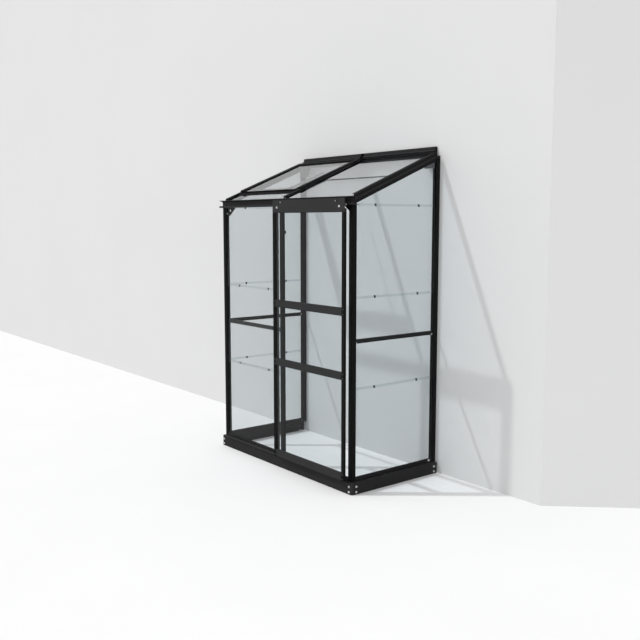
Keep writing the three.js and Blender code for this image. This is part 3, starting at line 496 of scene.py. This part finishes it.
# The drawn lines' direction for each kind of bar, and the materials of this greenhouse
alongX, alongY, alongZ = (4.0, 320.0, 320.0), (320.0, 4.0, 320.0), (320.0, 320.0, 4.0)
alongSlope = (320.0, 12.0, 60.0)
noLines = (160.0, 160.0, 160.0)
slopeNormal = (0.0, -math.sin(house["pitch"]), math.cos(house["pitch"]))
upSlope = (0.0, math.cos(house["pitch"]), math.sin(house["pitch"]))
darker = {"coat": (0.018, 0.018, 0.0187, 1), "wearAndHighlight": (0.04, 0.04, 0.042, 1)}
darkest = {"coat": (0.0075, 0.0075, 0.0079, 1), "wearAndHighlight": (0.025, 0.025, 0.026, 1), "specular": 0.14}
crossPowder = powderMaterial("powderCrossBars", alongX)
ridgePowder = powderMaterial("powderRidge", alongX, {"coat": (0.024, 0.024, 0.025, 1), "seam": -0.0105})
sidePowder = powderMaterial("powderSideBars", alongY, darker)
# the mid bars behind the side glass take the darkest coat as painted shade, for they stand in shade inside the
# house
shadedMidBarPowder = powderMaterial("powderMidBarsShaded", alongY, darkest)
uprightPowder = powderMaterial("powderUprights", alongZ, darkest)
roofPowder = powderMaterial("powderRoofBars", alongSlope, {**darker, "specular": 0.01})
ribPowder = powderMaterial("powderRibs", alongSlope, {"specular": 0.1})
stripPowder = powderMaterial("powderStrips", alongSlope, {**darkest, "specular": 0.01})
ventPowder = powderMaterial("powderVentRails", alongX, {**darker, "specular": 0.01})
basePowder = powderMaterial("powderBase", alongX, {
    "coat": (0.0235, 0.0235, 0.0243, 1), "mottle": 0.45, "roughness": 0.5, "dustAmount": 0.05,
})
castPowder = powderMaterial("powderCastCorners", noLines, {"roughness": 0.5, "bump": 0.18})
gussetPowder = powderMaterial("powderGussets", noLines, {**darkest, "specular": 0.02})
platePaint = powderMaterial("platePaint", noLines, {"coat": (0.07, 0.07, 0.073, 1)})
# a paler tint for the front bay and vent panes: painted light, so that what is seen through them looks lighter
paintedLightTint = {"tint": (0.95, 0.972, 0.978, 1)}
sideGlass = glassMaterial("glassSide", (1.0, 0.0, 0.0))
doorGlass = glassMaterial("glassDoor", (0.0, 1.0, 0.0))
bayGlass = glassMaterial("glassBay", (0.0, 1.0, 0.0), paintedLightTint)
roofGlass = glassMaterial("glassRoof", slopeNormal, {"tint": (0.79, 0.815, 0.83, 1)})
ventGlass = glassMaterial("glassVent", slopeNormal, paintedLightTint)
zincMetal = metalMaterial("zincBolts", metal["zinc"], metal["stain"], 0.32, 260.0, 0.35)
darkAndShadedMetal = metalMaterial("darkAndShadedScrews", metal["darkAndShadedZinc"], metal["darkAndShadedStain"], 0.36, 260.0)
millMetal = metalMaterial("millAluminium", metal["mill"], metal["millStain"], 0.38, 90.0)
nylon = polymerMaterial("blackNylon", (0.012, 0.012, 0.013, 1), (0.05, 0.05, 0.052, 1), 0.52, 500.0)
rubber = polymerMaterial("blackRubber", (0.008, 0.008, 0.008, 1), (0.03, 0.03, 0.03, 1), 0.72, 700.0)
pile = polymerMaterial("brushPile", (0.030, 0.024, 0.022, 1), (0.11, 0.09, 0.085, 1), 0.85, 1600.0)
print("materials made:", len(bpy.data.materials))

# Which finish each node of the frame gets: the first one whose word its name starts with
finishes = [
    ("side_glass", sideGlass), ("front_glass", bayGlass), ("door_glass", doorGlass),
    ("roof_glass", roofGlass), ("vent_glass", ventGlass), ("ridge_cover", ridgePowder),
    ("base_corner", castPowder), ("base_wall_bracket", castPowder), ("eave_gusset", gussetPowder),
    ("base_front", basePowder), ("base_side", basePowder),
    ("sill_side", sidePowder), ("side_bar", shadedMidBarPowder),
    ("front_post", uprightPowder), ("rear_post", uprightPowder), ("mullion", uprightPowder),
    ("door_stile", uprightPowder), ("rafter", roofPowder), ("vent_stile", roofPowder),
    ("vent_bottom", ventPowder), ("vent_top", ventPowder), ("vent_slam", ventPowder),
    ("door_roller", nylon), ("door_guide", nylon), ("vent_stay", millMetal), ("", crossPowder),
]
for name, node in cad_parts.items():
    finish = next(material for start, material in finishes if name.startswith(start))
    for slot in node.material_slots:
        slot.material = finish
print("frame nodes finished")


# Nut: a washer, a six-sided nut and the rounded end of the bolt. Screw and flat: low heads with a six-sided
# socket, one small and round, the other wide and flat

bolts = {
    "sides": 24,
    # radius and height in mm, and how far the row is six-sided
    "nut": [
        (6.4, 0.0, 0.0), (6.65, 0.2, 0.0), (6.65, 0.9, 0.0), (6.4, 1.1, 0.0), (5.6, 1.12, 1.0),
        (5.6, 3.3, 1.0), (5.3, 3.75, 0.5), (4.5, 4.0, 0.0), (3.0, 4.02, 0.0), (2.9, 4.75, 0.0),
        (2.4, 5.1, 0.0), (0.8, 5.15, 0.0),
    ],
    "screw": [
        (3.5, 0.0, 0.0), (3.6, 0.25, 0.0), (3.5, 0.75, 0.0), (3.1, 1.3, 0.0), (2.5, 1.65, 0.0),
        (1.9, 1.75, 0.0), (1.7, 1.75, 1.0), (1.6, 0.7, 1.0), (0.6, 0.55, 0.0),
    ],
    "flat": [
        (5.4, 0.0, 0.0), (5.6, 0.2, 0.0), (5.5, 0.6, 0.0), (5.0, 1.1, 0.0), (3.9, 1.45, 0.0),
        (2.4, 1.55, 0.0), (2.1, 1.55, 1.0), (2.0, 0.7, 1.0), (0.7, 0.6, 0.0),
    ],
}


def turnedShape(profile):
    # a profile turned about z: radius x (1 - six + six x cos 30 / cos(angle within its sixth))
    rows = np.array(profile)
    angle = np.linspace(0.0, 2 * np.pi, bolts["sides"], endpoint=False)
    within = np.mod(angle, np.pi / 3) - np.pi / 6
    flat = np.cos(np.pi / 6) / np.cos(within)
    radius = rows[:, None, 0] * (1 - rows[:, None, 2] * (1 - flat[None, :]))
    height = np.broadcast_to(rows[:, None, 1], radius.shape)
    points = np.stack([radius * np.cos(angle), radius * np.sin(angle), height], -1)
    return points.reshape(-1, 3) * mm, ringFaces(len(rows), bolts["sides"])


front, left, right = (0, -1, 0), (-1, 0, 0), (1, 0, 0)
doorFace = -30.0

# Where the heads sit: x, y and z in house millimetres, and the way each one points
seats = {
    "cornerFront": [(637.0, -0.35, z, front) for z in (14.0, 44.0)],
    "baseEnds": [(660.35, y, z, right) for y in (32.0, 637.0) for z in (14.0, 44.0)],
    "wallEnd": [(640.0, 612.0, 80.5, right)],
    "wallEndInside": [(626.0, 637.0, 77.7, left), (654.7, 638.0, 27.5, left)],
    "sideBarEnds": [(627.9, 52.7, 829.0, right), (627.9, 632.0, 828.0, right)],
    "gusset": [(611.0, 29.5, 1527.0, left)],
    "leftPostInside": [(-625.7, 634.0, 834.0, right)],
    "eaveLip": [(603.0, 0.0, 1565.7, front)],
    "rollers": [(x, doorFace, 1556.0, front) for x in (19.7, 583.0)],
    "headRail": [(x, doorFace, 1585.4, front) for x in (52.7, 552.3)],
    "railEnds": [(x, doorFace, z, front) for x in (616.0, -13.0)
                 for z in (1545.0, 1013.0, 985.0, 664.0, 640.0, 112.0, 84.0)],
}


def mirrored(places):
    # the same places on the other side of the house: x and the direction's x change sign
    return places + [(-x, y, z, (-way[0], way[1], way[2])) for x, y, z, way in places]


def placeHeads(name, profile, places, body, material):
    shape, shapeFaces = turnedShape(bolts[profile])
    points, faces = copies(shape, shapeFaces, seatBases(places))
    makePiece(name, points, faces, body, "bare_aluminium", material)
    print(name, len(places))


cornerSeats = mirrored(seats["cornerFront"] + seats["baseEnds"] + seats["wallEnd"])
screwSeats = mirrored(seats["sideBarEnds"] + seats["gusset"]) + seats["leftPostInside"] + seats["eaveLip"]
placeHeads("frame_bolts", "nut", cornerSeats, "house_frame", zincMetal)
# the inner bolts are the same zinc nuts as frame_bolts, made in the dark metal as painted shade where they sit
# in shade behind the door's glass
placeHeads("inner_bolts", "nut", mirrored(seats["wallEndInside"]), "house_frame", darkAndShadedMetal)
placeHeads("frame_screws", "flat", screwSeats, "house_frame", zincMetal)
placeHeads("door_bolts", "nut", seats["rollers"], "door", zincMetal)
placeHeads("head_screws", "screw", seats["headRail"], "door", zincMetal)
placeHeads("door_screws", "screw", seats["railEnds"], "door", darkAndShadedMetal)


# Glass: how far out each lapped pane's outer face stands at a height

panes = {
    "foot": 3.3,  # how far a pane's foot hangs out over its head
    "sideHead": 631.3,
    "frontHead": 23.7,
    "levels": [(68.6, 581.0), (569.0, 1078.0), (1066.0, 1571.0), (1559.0, 1845.0)],  # z of foot and head
    "sillTop": 88.3,
}
laps = [foot for foot, head in panes["levels"][1:]]


def hangOut(level, z):
    low, high = panes["levels"][level]
    return panes["foot"] * min(1.0, max(0.0, (high - z) / (high - low)))


# Clips: an S of thin strip that hooks each pane's foot on the head of the pane below

clips = {
    "width": 10.0,
    "thick": 0.8,
    "sidePlaces": (182.0, 508.0),  # y
    "frontPlaces": (-466.0, -148.0),  # x
    # outward and upward from the head's outer face and the foot's level
    "path": [(3.9, 6.5), (3.9, -0.8), (0.2, -0.8), (0.2, 12.8), (-3.6, 12.8), (-3.6, 5.5)],
}


def clipSection():
    w, t = clips["width"] / 2, clips["thick"] / 2
    return [(-w, -t), (w, -t), (w, t), (-w, t)]


def sideClip(side, y, foot):
    path = [(side * (panes["sideHead"] + out), y, foot + up) for out, up in clips["path"]]
    return carried(path, (0.0, 1.0, 0.0), clipSection())


def frontClip(x, foot):
    path = [(x, panes["frontHead"] - out, foot + up) for out, up in clips["path"]]
    return carried(path, (1.0, 0.0, 0.0), clipSection())


clipParts = [sideClip(side, y, foot)
             for side in (-1, 1) for y in clips["sidePlaces"] for foot in laps]
clipParts += [frontClip(x, foot) for x in clips["frontPlaces"] for foot in laps[:2]]
makePiece("glass_clips", *joined(clipParts), "house_frame", "bare_aluminium", darkAndShadedMetal, smooth=False)
print("glass_clips", len(clipParts))


# Glazing beads: a rounded rubber strip in the corner between the glass and the bar

beads = {
    "section": [(0.0, 0.0), (2.6, 0.0), (2.45, 0.9), (2.0, 1.6), (1.2, 2.15), (0.0, 2.4)],
    "clear": 0.05,
    "endGap": 0.2,
    "lapGap": 1.5,  # below the foot of the pane above
    # where the lip over the glass ends, and the way from there over the glass
    "sideLips": ((44.2, 1.0), (638.8, -1.0)),  # y
    "frontLips": ((-610.8, 1.0), (-14.7, -1.0)),  # x
    "doorLips": ((-1.8, 1.0), (604.8, -1.0)),  # x
    # the ends of the runs along the foot of the glass
    "sideRun": (47.0, 636.0),  # y
    "frontRun": (-608.0, -17.5),  # x
    "doorRun": (0.9, 602.1),  # x
    "frontTop": 1561.0,
    "doorGlassFace": -24.5,
    "doorPanes": ((119.5, 633.0), (673.0, 980.0), (1020.0, 1527.5)),  # between the rails
}


def beadRun(start, end, inward, outward, section=None):
    # inward points from the bar over the glass; the run is turned so that the section stands outward
    way = np.cross(inward, outward)
    if np.dot(np.subtract(end, start), way) < 0:
        start, end = end, start
    lift = beads["clear"] * np.array(outward, float)
    return carried([np.add(start, lift), np.add(end, lift)], inward, section or beads["section"])


def sideBeads(side):
    outward = (side, 0.0, 0.0)
    parts = []
    for level, lap in enumerate(laps):
        low = max(panes["levels"][level][0], panes["sillTop"]) + beads["endGap"]
        high = lap - beads["lapGap"]
        for y, inward in beads["sideLips"]:
            ends = [(side * (panes["sideHead"] + hangOut(level, z)), y, z) for z in (low, high)]
            parts.append(beadRun(*ends, (0.0, inward, 0.0), outward))
    x = side * (panes["sideHead"] + hangOut(0, panes["sillTop"]))
    z = panes["sillTop"] + beads["endGap"]
    parts.append(beadRun(*[(x, y, z) for y in beads["sideRun"]], (0.0, 0.0, 1.0), outward))
    return parts


def frontBeads():
    parts = []
    for level, lap in enumerate(laps):
        low = max(panes["levels"][level][0], panes["sillTop"]) + beads["endGap"]
        high = min(lap - beads["lapGap"], beads["frontTop"])
        for x, inward in beads["frontLips"]:
            ends = [(x, panes["frontHead"] - hangOut(level, z), z) for z in (low, high)]
            parts.append(beadRun(*ends, (inward, 0.0, 0.0), front))
    y = panes["frontHead"] - hangOut(0, panes["sillTop"])
    z = panes["sillTop"] + beads["endGap"]
    parts.append(beadRun(*[(x, y, z) for x in beads["frontRun"]], (0.0, 0.0, 1.0), front))
    return parts


def doorBeads():
    parts = []
    y = beads["doorGlassFace"]
    for railBelow, railAbove in beads["doorPanes"]:
        low, high = railBelow + beads["endGap"], railAbove - beads["endGap"]
        for x, inward in beads["doorLips"]:
            parts.append(beadRun((x, y, low), (x, y, high), (inward, 0.0, 0.0), front))
        for z, inward in ((low, 1.0), (high, -1.0)):
            parts.append(beadRun(*[(x, y, z) for x in beads["doorRun"]], (0.0, 0.0, inward), front))
    return parts


# The vent: retaining strips on its pane beside the left stile and the top rail, and in place of the plain
# bottom rail a slim one: the pane runs down over its ledge to the front wall, whose drip lip leans out over
# the pane below

vent = {
    "pane": (-5.2, -2.2),  # depth of the pane's faces
    "paneOutline": [(-616.5, 179.5), (-603.9, 179.5), (-603.9, 149.95), (-28.1, 149.95), (-28.1, 179.5),
                    (-15.5, 179.5), (-15.5, 663.6), (-616.5, 663.6)],  # x and run
    "sides": (-603.7, -28.3),
    "runs": (150.3, 650.8),
    "stripWidth": 26.0,
    "topStripWidth": 16.0,
    "stripHeight": 5.4,
    "stripRound": 1.4,
    "stripClear": 0.05,
    "stripGap": 0.3,  # between the two strips
    # run and height over the caps' line
    "rail": [(112.0, -8.3), (149.7, -3.2), (149.7, 0.3), (166.0, 0.3), (166.0, 1.9), (149.7, 1.9),
             (149.7, 5.1), (147.7, 5.1), (147.7, -1.6), (112.0, -6.9)],
    "lug": [(160.0, 0.31), (184.0, -0.2), (195.0, -7.0), (197.0, -12.0), (203.0, -14.8), (209.0, -13.6),
            (212.9, -8.0), (212.0, -2.0), (209.0, 1.9), (160.0, 1.9)],
    "lugSides": (-133.2, -130.2),
    "pin": (205.0, -7.0, 2.4),
    "pinSides": (-136.8, -132.9),
    "pinColumns": 16,
}


def onSlope(x, run, depth):
    # a point of the roof: run goes up the slope from the base front, depth square down from the caps' line
    s, c = math.sin(house["pitch"]), math.cos(house["pitch"])
    return [x, run * c + depth * s, house["roofStart"] + run * s - depth * c]


def acrossRoof(outline, sides):
    # an outline of (run, height) carried along x: P = x + run upslope + height outward
    low, high = sides
    return carried([onSlope(low, 0.0, 0.0), onSlope(high, 0.0, 0.0)], upSlope, outline)


def stripSection(width):
    # (across, height): flat on the glass, with its free edge rounded
    h, r = vent["stripHeight"], vent["stripRound"]
    return [(0.0, 0.0), (width, 0.0), (width, h - r), (width - r, h - 0.1), (1.0, h), (0.0, h - 1.0)]


def ventStrips():
    depth = vent["pane"][0] - vent["stripClear"]
    low, high = vent["runs"]
    x, end = vent["sides"]
    sideEnds = [onSlope(x, run, depth) for run in (low, high)]
    topEnds = [onSlope(x + vent["stripWidth"] + vent["stripGap"], high, depth), onSlope(end, high, depth)]
    return [
        beadRun(*sideEnds, (1.0, 0.0, 0.0), slopeNormal, stripSection(vent["stripWidth"])),
        beadRun(*topEnds, np.negative(upSlope), slopeNormal, stripSection(vent["topStripWidth"])),
    ]


def ventPane():
    # the outline on the pane's lower face and again on its upper face
    outline, (top, under) = vent["paneOutline"], vent["pane"]
    rows = [[onSlope(x, run, depth) for x, run in outline] for depth in (under, top)]
    return houseToFrame(np.array(rows).reshape(-1, 3)), ringFaces(2, len(outline))


def ventRail():
    # the rail, the lug under it and the stay's pin: P = run + radius cos a, height + radius sin a
    run, height, radius = vent["pin"]
    angle = np.linspace(0.0, 2 * np.pi, vent["pinColumns"], endpoint=False)
    pin = np.stack([run + radius * np.cos(angle), height + radius * np.sin(angle)], -1)
    return [acrossRoof(vent["rail"], vent["sides"]),
            acrossRoof(vent["lug"], vent["lugSides"]), acrossRoof(pin, vent["pinSides"])]


makePiece("vent_strips", *joined(ventStrips()), "vent", "anthracite", stripPowder)
ventFoot = makePiece("vent_foot_rail", *joined(ventRail()), "vent", "anthracite", stripPowder, smooth=False)
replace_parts(ventFoot, "vent_bottom_rail")
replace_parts(makePiece("vent_pane", *ventPane(), "vent", "clear_glass", ventGlass, smooth=False), "vent_glass")
print("vent trimmed")

# A low rib along the outer side of each gable rafter

rib = {
    "face": 640.05,
    "runs": (46.0, 670.0),
    "section": [(-27.5, 0.0), (-19.0, 0.0), (-20.0, 1.2), (-26.5, 1.2)],
}


def rafterRib(side):
    # P = point of the slope at the rafter's face + u out of the roof + v outward; the path turns with
    # the side
    path = [onSlope(side * rib["face"], run, 0.0) for run in rib["runs"][::int(side)]]
    return carried(path, slopeNormal, rib["section"])


ribs = joined([rafterRib(-1), rafterRib(1)])
makePiece("rafter_ribs", *ribs, "house_frame", "anthracite", ribPowder, smooth=False)
frameBeads = joined(sideBeads(1.0) + sideBeads(-1.0) + frontBeads())
makePiece("glazing_beads", *frameBeads, "house_frame", "black_plastic", rubber)
makePiece("door_beads", *joined(doorBeads()), "door", "black_plastic", rubber)
print("beads laid")


# Draught brush behind the door's left stile: a channel with a row of bristles whose free edge is uneven

brush = {
    "x": (-4.2, -2.2),
    "base": -15.7,
    "channel": (2.5, 2.6),  # height of the channel's rim and of the bristles' root
    "root": 0.6,  # half the thickness at the root, and at the tip
    "point": 0.3,
    "tip": -0.6,
    "tipWaves": (37, 91, 211),
    "tipSwing": 0.7,
    "swayWaves": 151,
    "sway": 0.35,
    "low": 84.0,
    "high": 1525.0,
    "rows": 240,
}


def brushShape():
    # P = (x across a thin wedge, y from base to an uneven tip, z along the door);
    # the tip's y is tip + swing x mean of sin(wave s) over the waves, at the share s of the height
    s = np.linspace(0.0, 1.0, brush["rows"])
    x0, x1 = brush["x"]
    middle = (x0 + x1) / 2
    waves = brush["tipWaves"]
    tip = brush["tip"] + brush["tipSwing"] * sum(np.sin(wave * s) for wave in waves) / len(waves)
    edge = middle + brush["sway"] * np.sin(brush["swayWaves"] * s)
    base, thick, thin = brush["base"], brush["root"], brush["point"]
    rim, root = (base + height for height in brush["channel"])
    columns = [
        (x0, base), (x1, base), (x1, rim), (middle + thick, root),
        (edge + thin, tip), (edge - thin, tip), (middle - thick, root), (x0, rim),
    ]
    z = brush["low"] + (brush["high"] - brush["low"]) * s
    across = np.stack([np.broadcast_to(x, s.shape) for x, y in columns], -1)
    outward = np.stack([np.broadcast_to(y, s.shape) for x, y in columns], -1)
    points = np.stack(np.broadcast_arrays(across, outward, z[:, None]), -1)
    return houseToFrame(points.reshape(-1, 3)), ringFaces(brush["rows"], len(columns))


makePiece("door_brush", *brushShape(), "door", "black_plastic", pile)
print("brush made")


# Rear corner plates between the rear posts and the wall bar, and the catch on the mullion

plates = {
    "thick": 2.4,
    "plane": 636.3,
    # outline in x and z on the right-hand side
    "outline": [(527.0, 1832.0), (627.0, 1832.0), (627.0, 1777.0), (548.0, 1777.0)],
}


def plateShape(side):
    # P = (side x outline x, y of the back and of the front, outline z); the outline's order turns with the
    # side so that the faces point outward
    outline = np.array(plates["outline"])[::-side] * (side, 1.0)
    y = np.array([plates["plane"] + plates["thick"], plates["plane"]])[:, None]
    points = np.stack(np.broadcast_arrays(outline[:, 0], y, outline[:, 1]), -1)
    return houseToFrame(points.reshape(-1, 3)), ringFaces(2, len(outline))


bothPlates = joined([plateShape(-1), plateShape(1)])
makePiece("rear_plates", *bothPlates, "house_frame", "anthracite", platePaint, smooth=False)

catch = {
    "centre": (18.0, 32.0, 1413.8),
    "half": (3.6, 4.5, 9.5),
    "power": 0.45,
    "rows": 15,
    "columns": 24,
}


def superellipsoid(shape):
    # P = centre + half (c(v) c(u), c(v) s(u), s(v)), with c and s the signed powers of cos and sin
    def signed(values):
        return np.sign(values) * np.abs(values) ** shape["power"]
    v = np.linspace(-np.pi / 2, np.pi / 2, shape["rows"])[1:-1, None]
    u = np.linspace(0, 2 * np.pi, shape["columns"], endpoint=False)[None, :]
    unit = np.stack([signed(np.cos(v)) * signed(np.cos(u)), signed(np.cos(v)) * signed(np.sin(u)),
                     signed(np.sin(v)) * np.ones_like(u)], -1)
    points = np.array(shape["centre"]) + np.array(shape["half"]) * unit
    return houseToFrame(points.reshape(-1, 3)), ringFaces(shape["rows"] - 2, shape["columns"])


makePiece("mullion_catch", *superellipsoid(catch), "house_frame", "black_plastic", nylon)
print("plates and catch made")


# Camera: metres, degrees and millimetres of film

view = {"place": (3.923, -3.1244, 1.4744), "tilt": 83.1736, "turn": 51.5845, "film": 36.0, "lens": 46.13}
camera = bpy.data.objects.new("camera", bpy.data.cameras.new("camera"))
camera.location = view["place"]
camera.rotation_euler = (math.radians(view["tilt"]), 0.0, math.radians(view["turn"]))
camera.data.sensor_width = view["film"]
camera.data.lens = view["lens"]
bpy.context.scene.collection.objects.link(camera)
bpy.context.scene.camera = camera

# Floor, wall, light

studio = {
    "floor": (0.90, 0.90, 0.90),
    "floorSeen": (0.945, 0.945, 0.945),
    "wall": (0.675, 0.675, 0.675),
    "return": (0.80, 0.80, 0.80),
    "wallPlane": 0.3516,  # just behind the rear posts
    "corner": 1.391,  # where the wall turns back on the right
    "returnEnd": (1.812, 0.807),
    "level": -0.0004,  # of the floor, just under the base
    "wallHeight": 8.0,
    "reach": 14.0,
    "paintRoughness": 0.85,
    "paintSpecular": 0.1,
    "paintFade": 0.985,
    "floorCloud": 1.5,
    "wallCloud": 1.2,
    "keyWay": (0.408, 0.499, -0.764),
    "keyStrength": 1.3,
    "keyAngle": 1.6,
    "sideWay": (-0.936, 0.329, -0.128),
    "sideStrength": 0.18,
    "sideAngle": 5.0,
    "sky": 0.74,
    "skyWay": (-0.552, -0.834, 0.0),  # the lighter side of the room
    "skySwing": 0.40,
    "mirror": 0.18,  # how light the room is at the horizon in mirror-like surfaces
    "mirrorSwing": 0.03,
    "mirrorAbove": 0.60,  # and overhead
    "mirrorRise": (0.05, 0.40),  # of the direction's z, from the horizon's level to the one overhead
}


def paintColour(tree, place, base, scale):
    # matt paint: the base colour within a few percent of slow noise
    slow = mapRange(tree, noise(tree, place.outputs["Object"], scale, 3.0), 0.3, 0.7, 0.0, 1.0)
    return mixColour(tree, slow, tuple(studio["paintFade"] * value for value in base) + (1,), base + (1,))


def paintedMaterial(name):
    # matt; seen = 1 for the eye, also through glass; direct = 0 once the ray has come off a mirror-like
    # surface
    material, tree, shader, place = newMaterial(name)
    shader.inputs["Roughness"].default_value = studio["paintRoughness"]
    shader.inputs["Specular IOR Level"].default_value = studio["paintSpecular"]
    rays = addNode(tree, "ShaderNodeLightPath")
    seen = mathNode(tree, "MAXIMUM", rays.outputs["Is Camera Ray"], rays.outputs["Is Transmission Ray"])
    direct = mathNode(tree, "SUBTRACT", 1.0, rays.outputs["Glossy Depth"], clamp=True)
    return material, tree, shader, place, seen, direct


def wallMaterial(name, base):
    # shows its front to the eye; mirror-like and all other rays pass it, and so does light from behind
    material, tree, shader, place, seen, direct = paintedMaterial(name)
    tree.links.new(paintColour(tree, place, base, studio["wallCloud"]), shader.inputs["Base Color"])
    geometry = addNode(tree, "ShaderNodeNewGeometry")
    facing = mathNode(tree, "SUBTRACT", 1.0, geometry.outputs["Backfacing"])
    kept = mathNode(tree, "MULTIPLY", mathNode(tree, "MULTIPLY", seen, direct), facing)
    letThrough(tree, shader, kept, (1, 1, 1, 1))
    return material


def floorMaterial(name, base, seenBase):
    # a little paler to the eye than to the light; mirror-like rays pass on to the room
    material, tree, shader, place, seen, direct = paintedMaterial(name)
    lit, looked = (paintColour(tree, place, shade, studio["floorCloud"]) for shade in (base, seenBase))
    tree.links.new(mixColour(tree, seen, lit, looked), shader.inputs["Base Color"])
    letThrough(tree, shader, direct, (1, 1, 1, 1))
    return material


def stagePiece(name, corners, material):
    # flat surface through the corners of a grid of points
    points = np.asarray(corners, float)
    quads = gridQuads(points.shape[0], points.shape[1], False)
    mesh = bpy.data.meshes.new(name)
    mesh.from_pydata(points.reshape(-1, 3).tolist(), [], quads.tolist())
    mesh.materials.append(material)
    piece = bpy.data.objects.new(name, mesh)
    bpy.context.scene.collection.objects.link(piece)


def standing(plan):
    # a wall over the line on the floor: P = (x, y, level)
    plan = np.asarray(plan, float)
    levels = np.array([studio["level"], studio["wallHeight"]])[:, None]
    return np.stack(np.broadcast_arrays(plan[:, 0], plan[:, 1], levels), -1)


def floorGrid():
    # P = (x, y, level) on a square grid
    steps = np.linspace(-studio["reach"], studio["reach"], 9)
    return np.stack(np.broadcast_arrays(steps[None, :], steps[:, None], studio["level"]), -1)


wallStart, wallCorner = (-studio["reach"], studio["wallPlane"]), (studio["corner"], studio["wallPlane"])
floorPaint = floorMaterial("floorPaint", studio["floor"], studio["floorSeen"])
stagePiece("floor", floorGrid(), floorPaint)
stagePiece("wall", standing([wallStart, wallCorner]), wallMaterial("wallPaint", studio["wall"]))
returnPaint = wallMaterial("returnPaint", studio["return"])
stagePiece("wall_return", standing([wallCorner, studio["returnEnd"]]), returnPaint)


def addSun(name, way, strength, angle):
    lamp = bpy.data.objects.new(name, bpy.data.lights.new(name, "SUN"))
    lamp.data.energy = strength
    lamp.data.angle = math.radians(angle)
    lamp.rotation_euler = Vector(way).to_track_quat("-Z", "Y").to_euler()
    bpy.context.scene.collection.objects.link(lamp)


addSun("keyLight", studio["keyWay"], studio["keyStrength"], studio["keyAngle"])
addSun("sideLight", studio["sideWay"], studio["sideStrength"], studio["sideAngle"])


def lightRoom():
    # soft light from all sides: strength = sky + swing x (direction . lighter side); in mirror-like surfaces
    # the room is dimmer at the horizon and light overhead
    world = bpy.data.worlds.new("softStudio")
    world.use_nodes = True
    bpy.context.scene.world = world
    tree = world.node_tree
    sky = tree.nodes["Background"]
    sky.inputs["Color"].default_value = (1, 1, 1, 1)
    place = addNode(tree, "ShaderNodeTexCoord")
    lighter = addNode(tree, "ShaderNodeVectorMath", {1: studio["skyWay"]}, operation="DOT_PRODUCT")
    split = addNode(tree, "ShaderNodeSeparateXYZ")
    for node in (lighter, split):
        tree.links.new(place.outputs["Generated"], node.inputs[0])
    toLight = lighter.outputs["Value"]
    level = mathNode(tree, "MULTIPLY_ADD", toLight, studio["skySwing"], studio["sky"])
    horizon = mathNode(tree, "MULTIPLY_ADD", toLight, studio["mirrorSwing"], studio["mirror"])
    above = mapRange(tree, split.outputs["Z"], *studio["mirrorRise"], 0.0, 1.0)
    mirrorLevel = mixNumber(tree, above, horizon, studio["mirrorAbove"])
    rays = addNode(tree, "ShaderNodeLightPath")
    reflected = mathNode(tree, "MINIMUM", rays.outputs["Glossy Depth"], 1.0)
    tree.links.new(mixNumber(tree, reflected, level, mirrorLevel), sky.inputs["Strength"])


lightRoom()
bpy.context.scene.view_settings.view_transform = "Standard"
print("studio set")
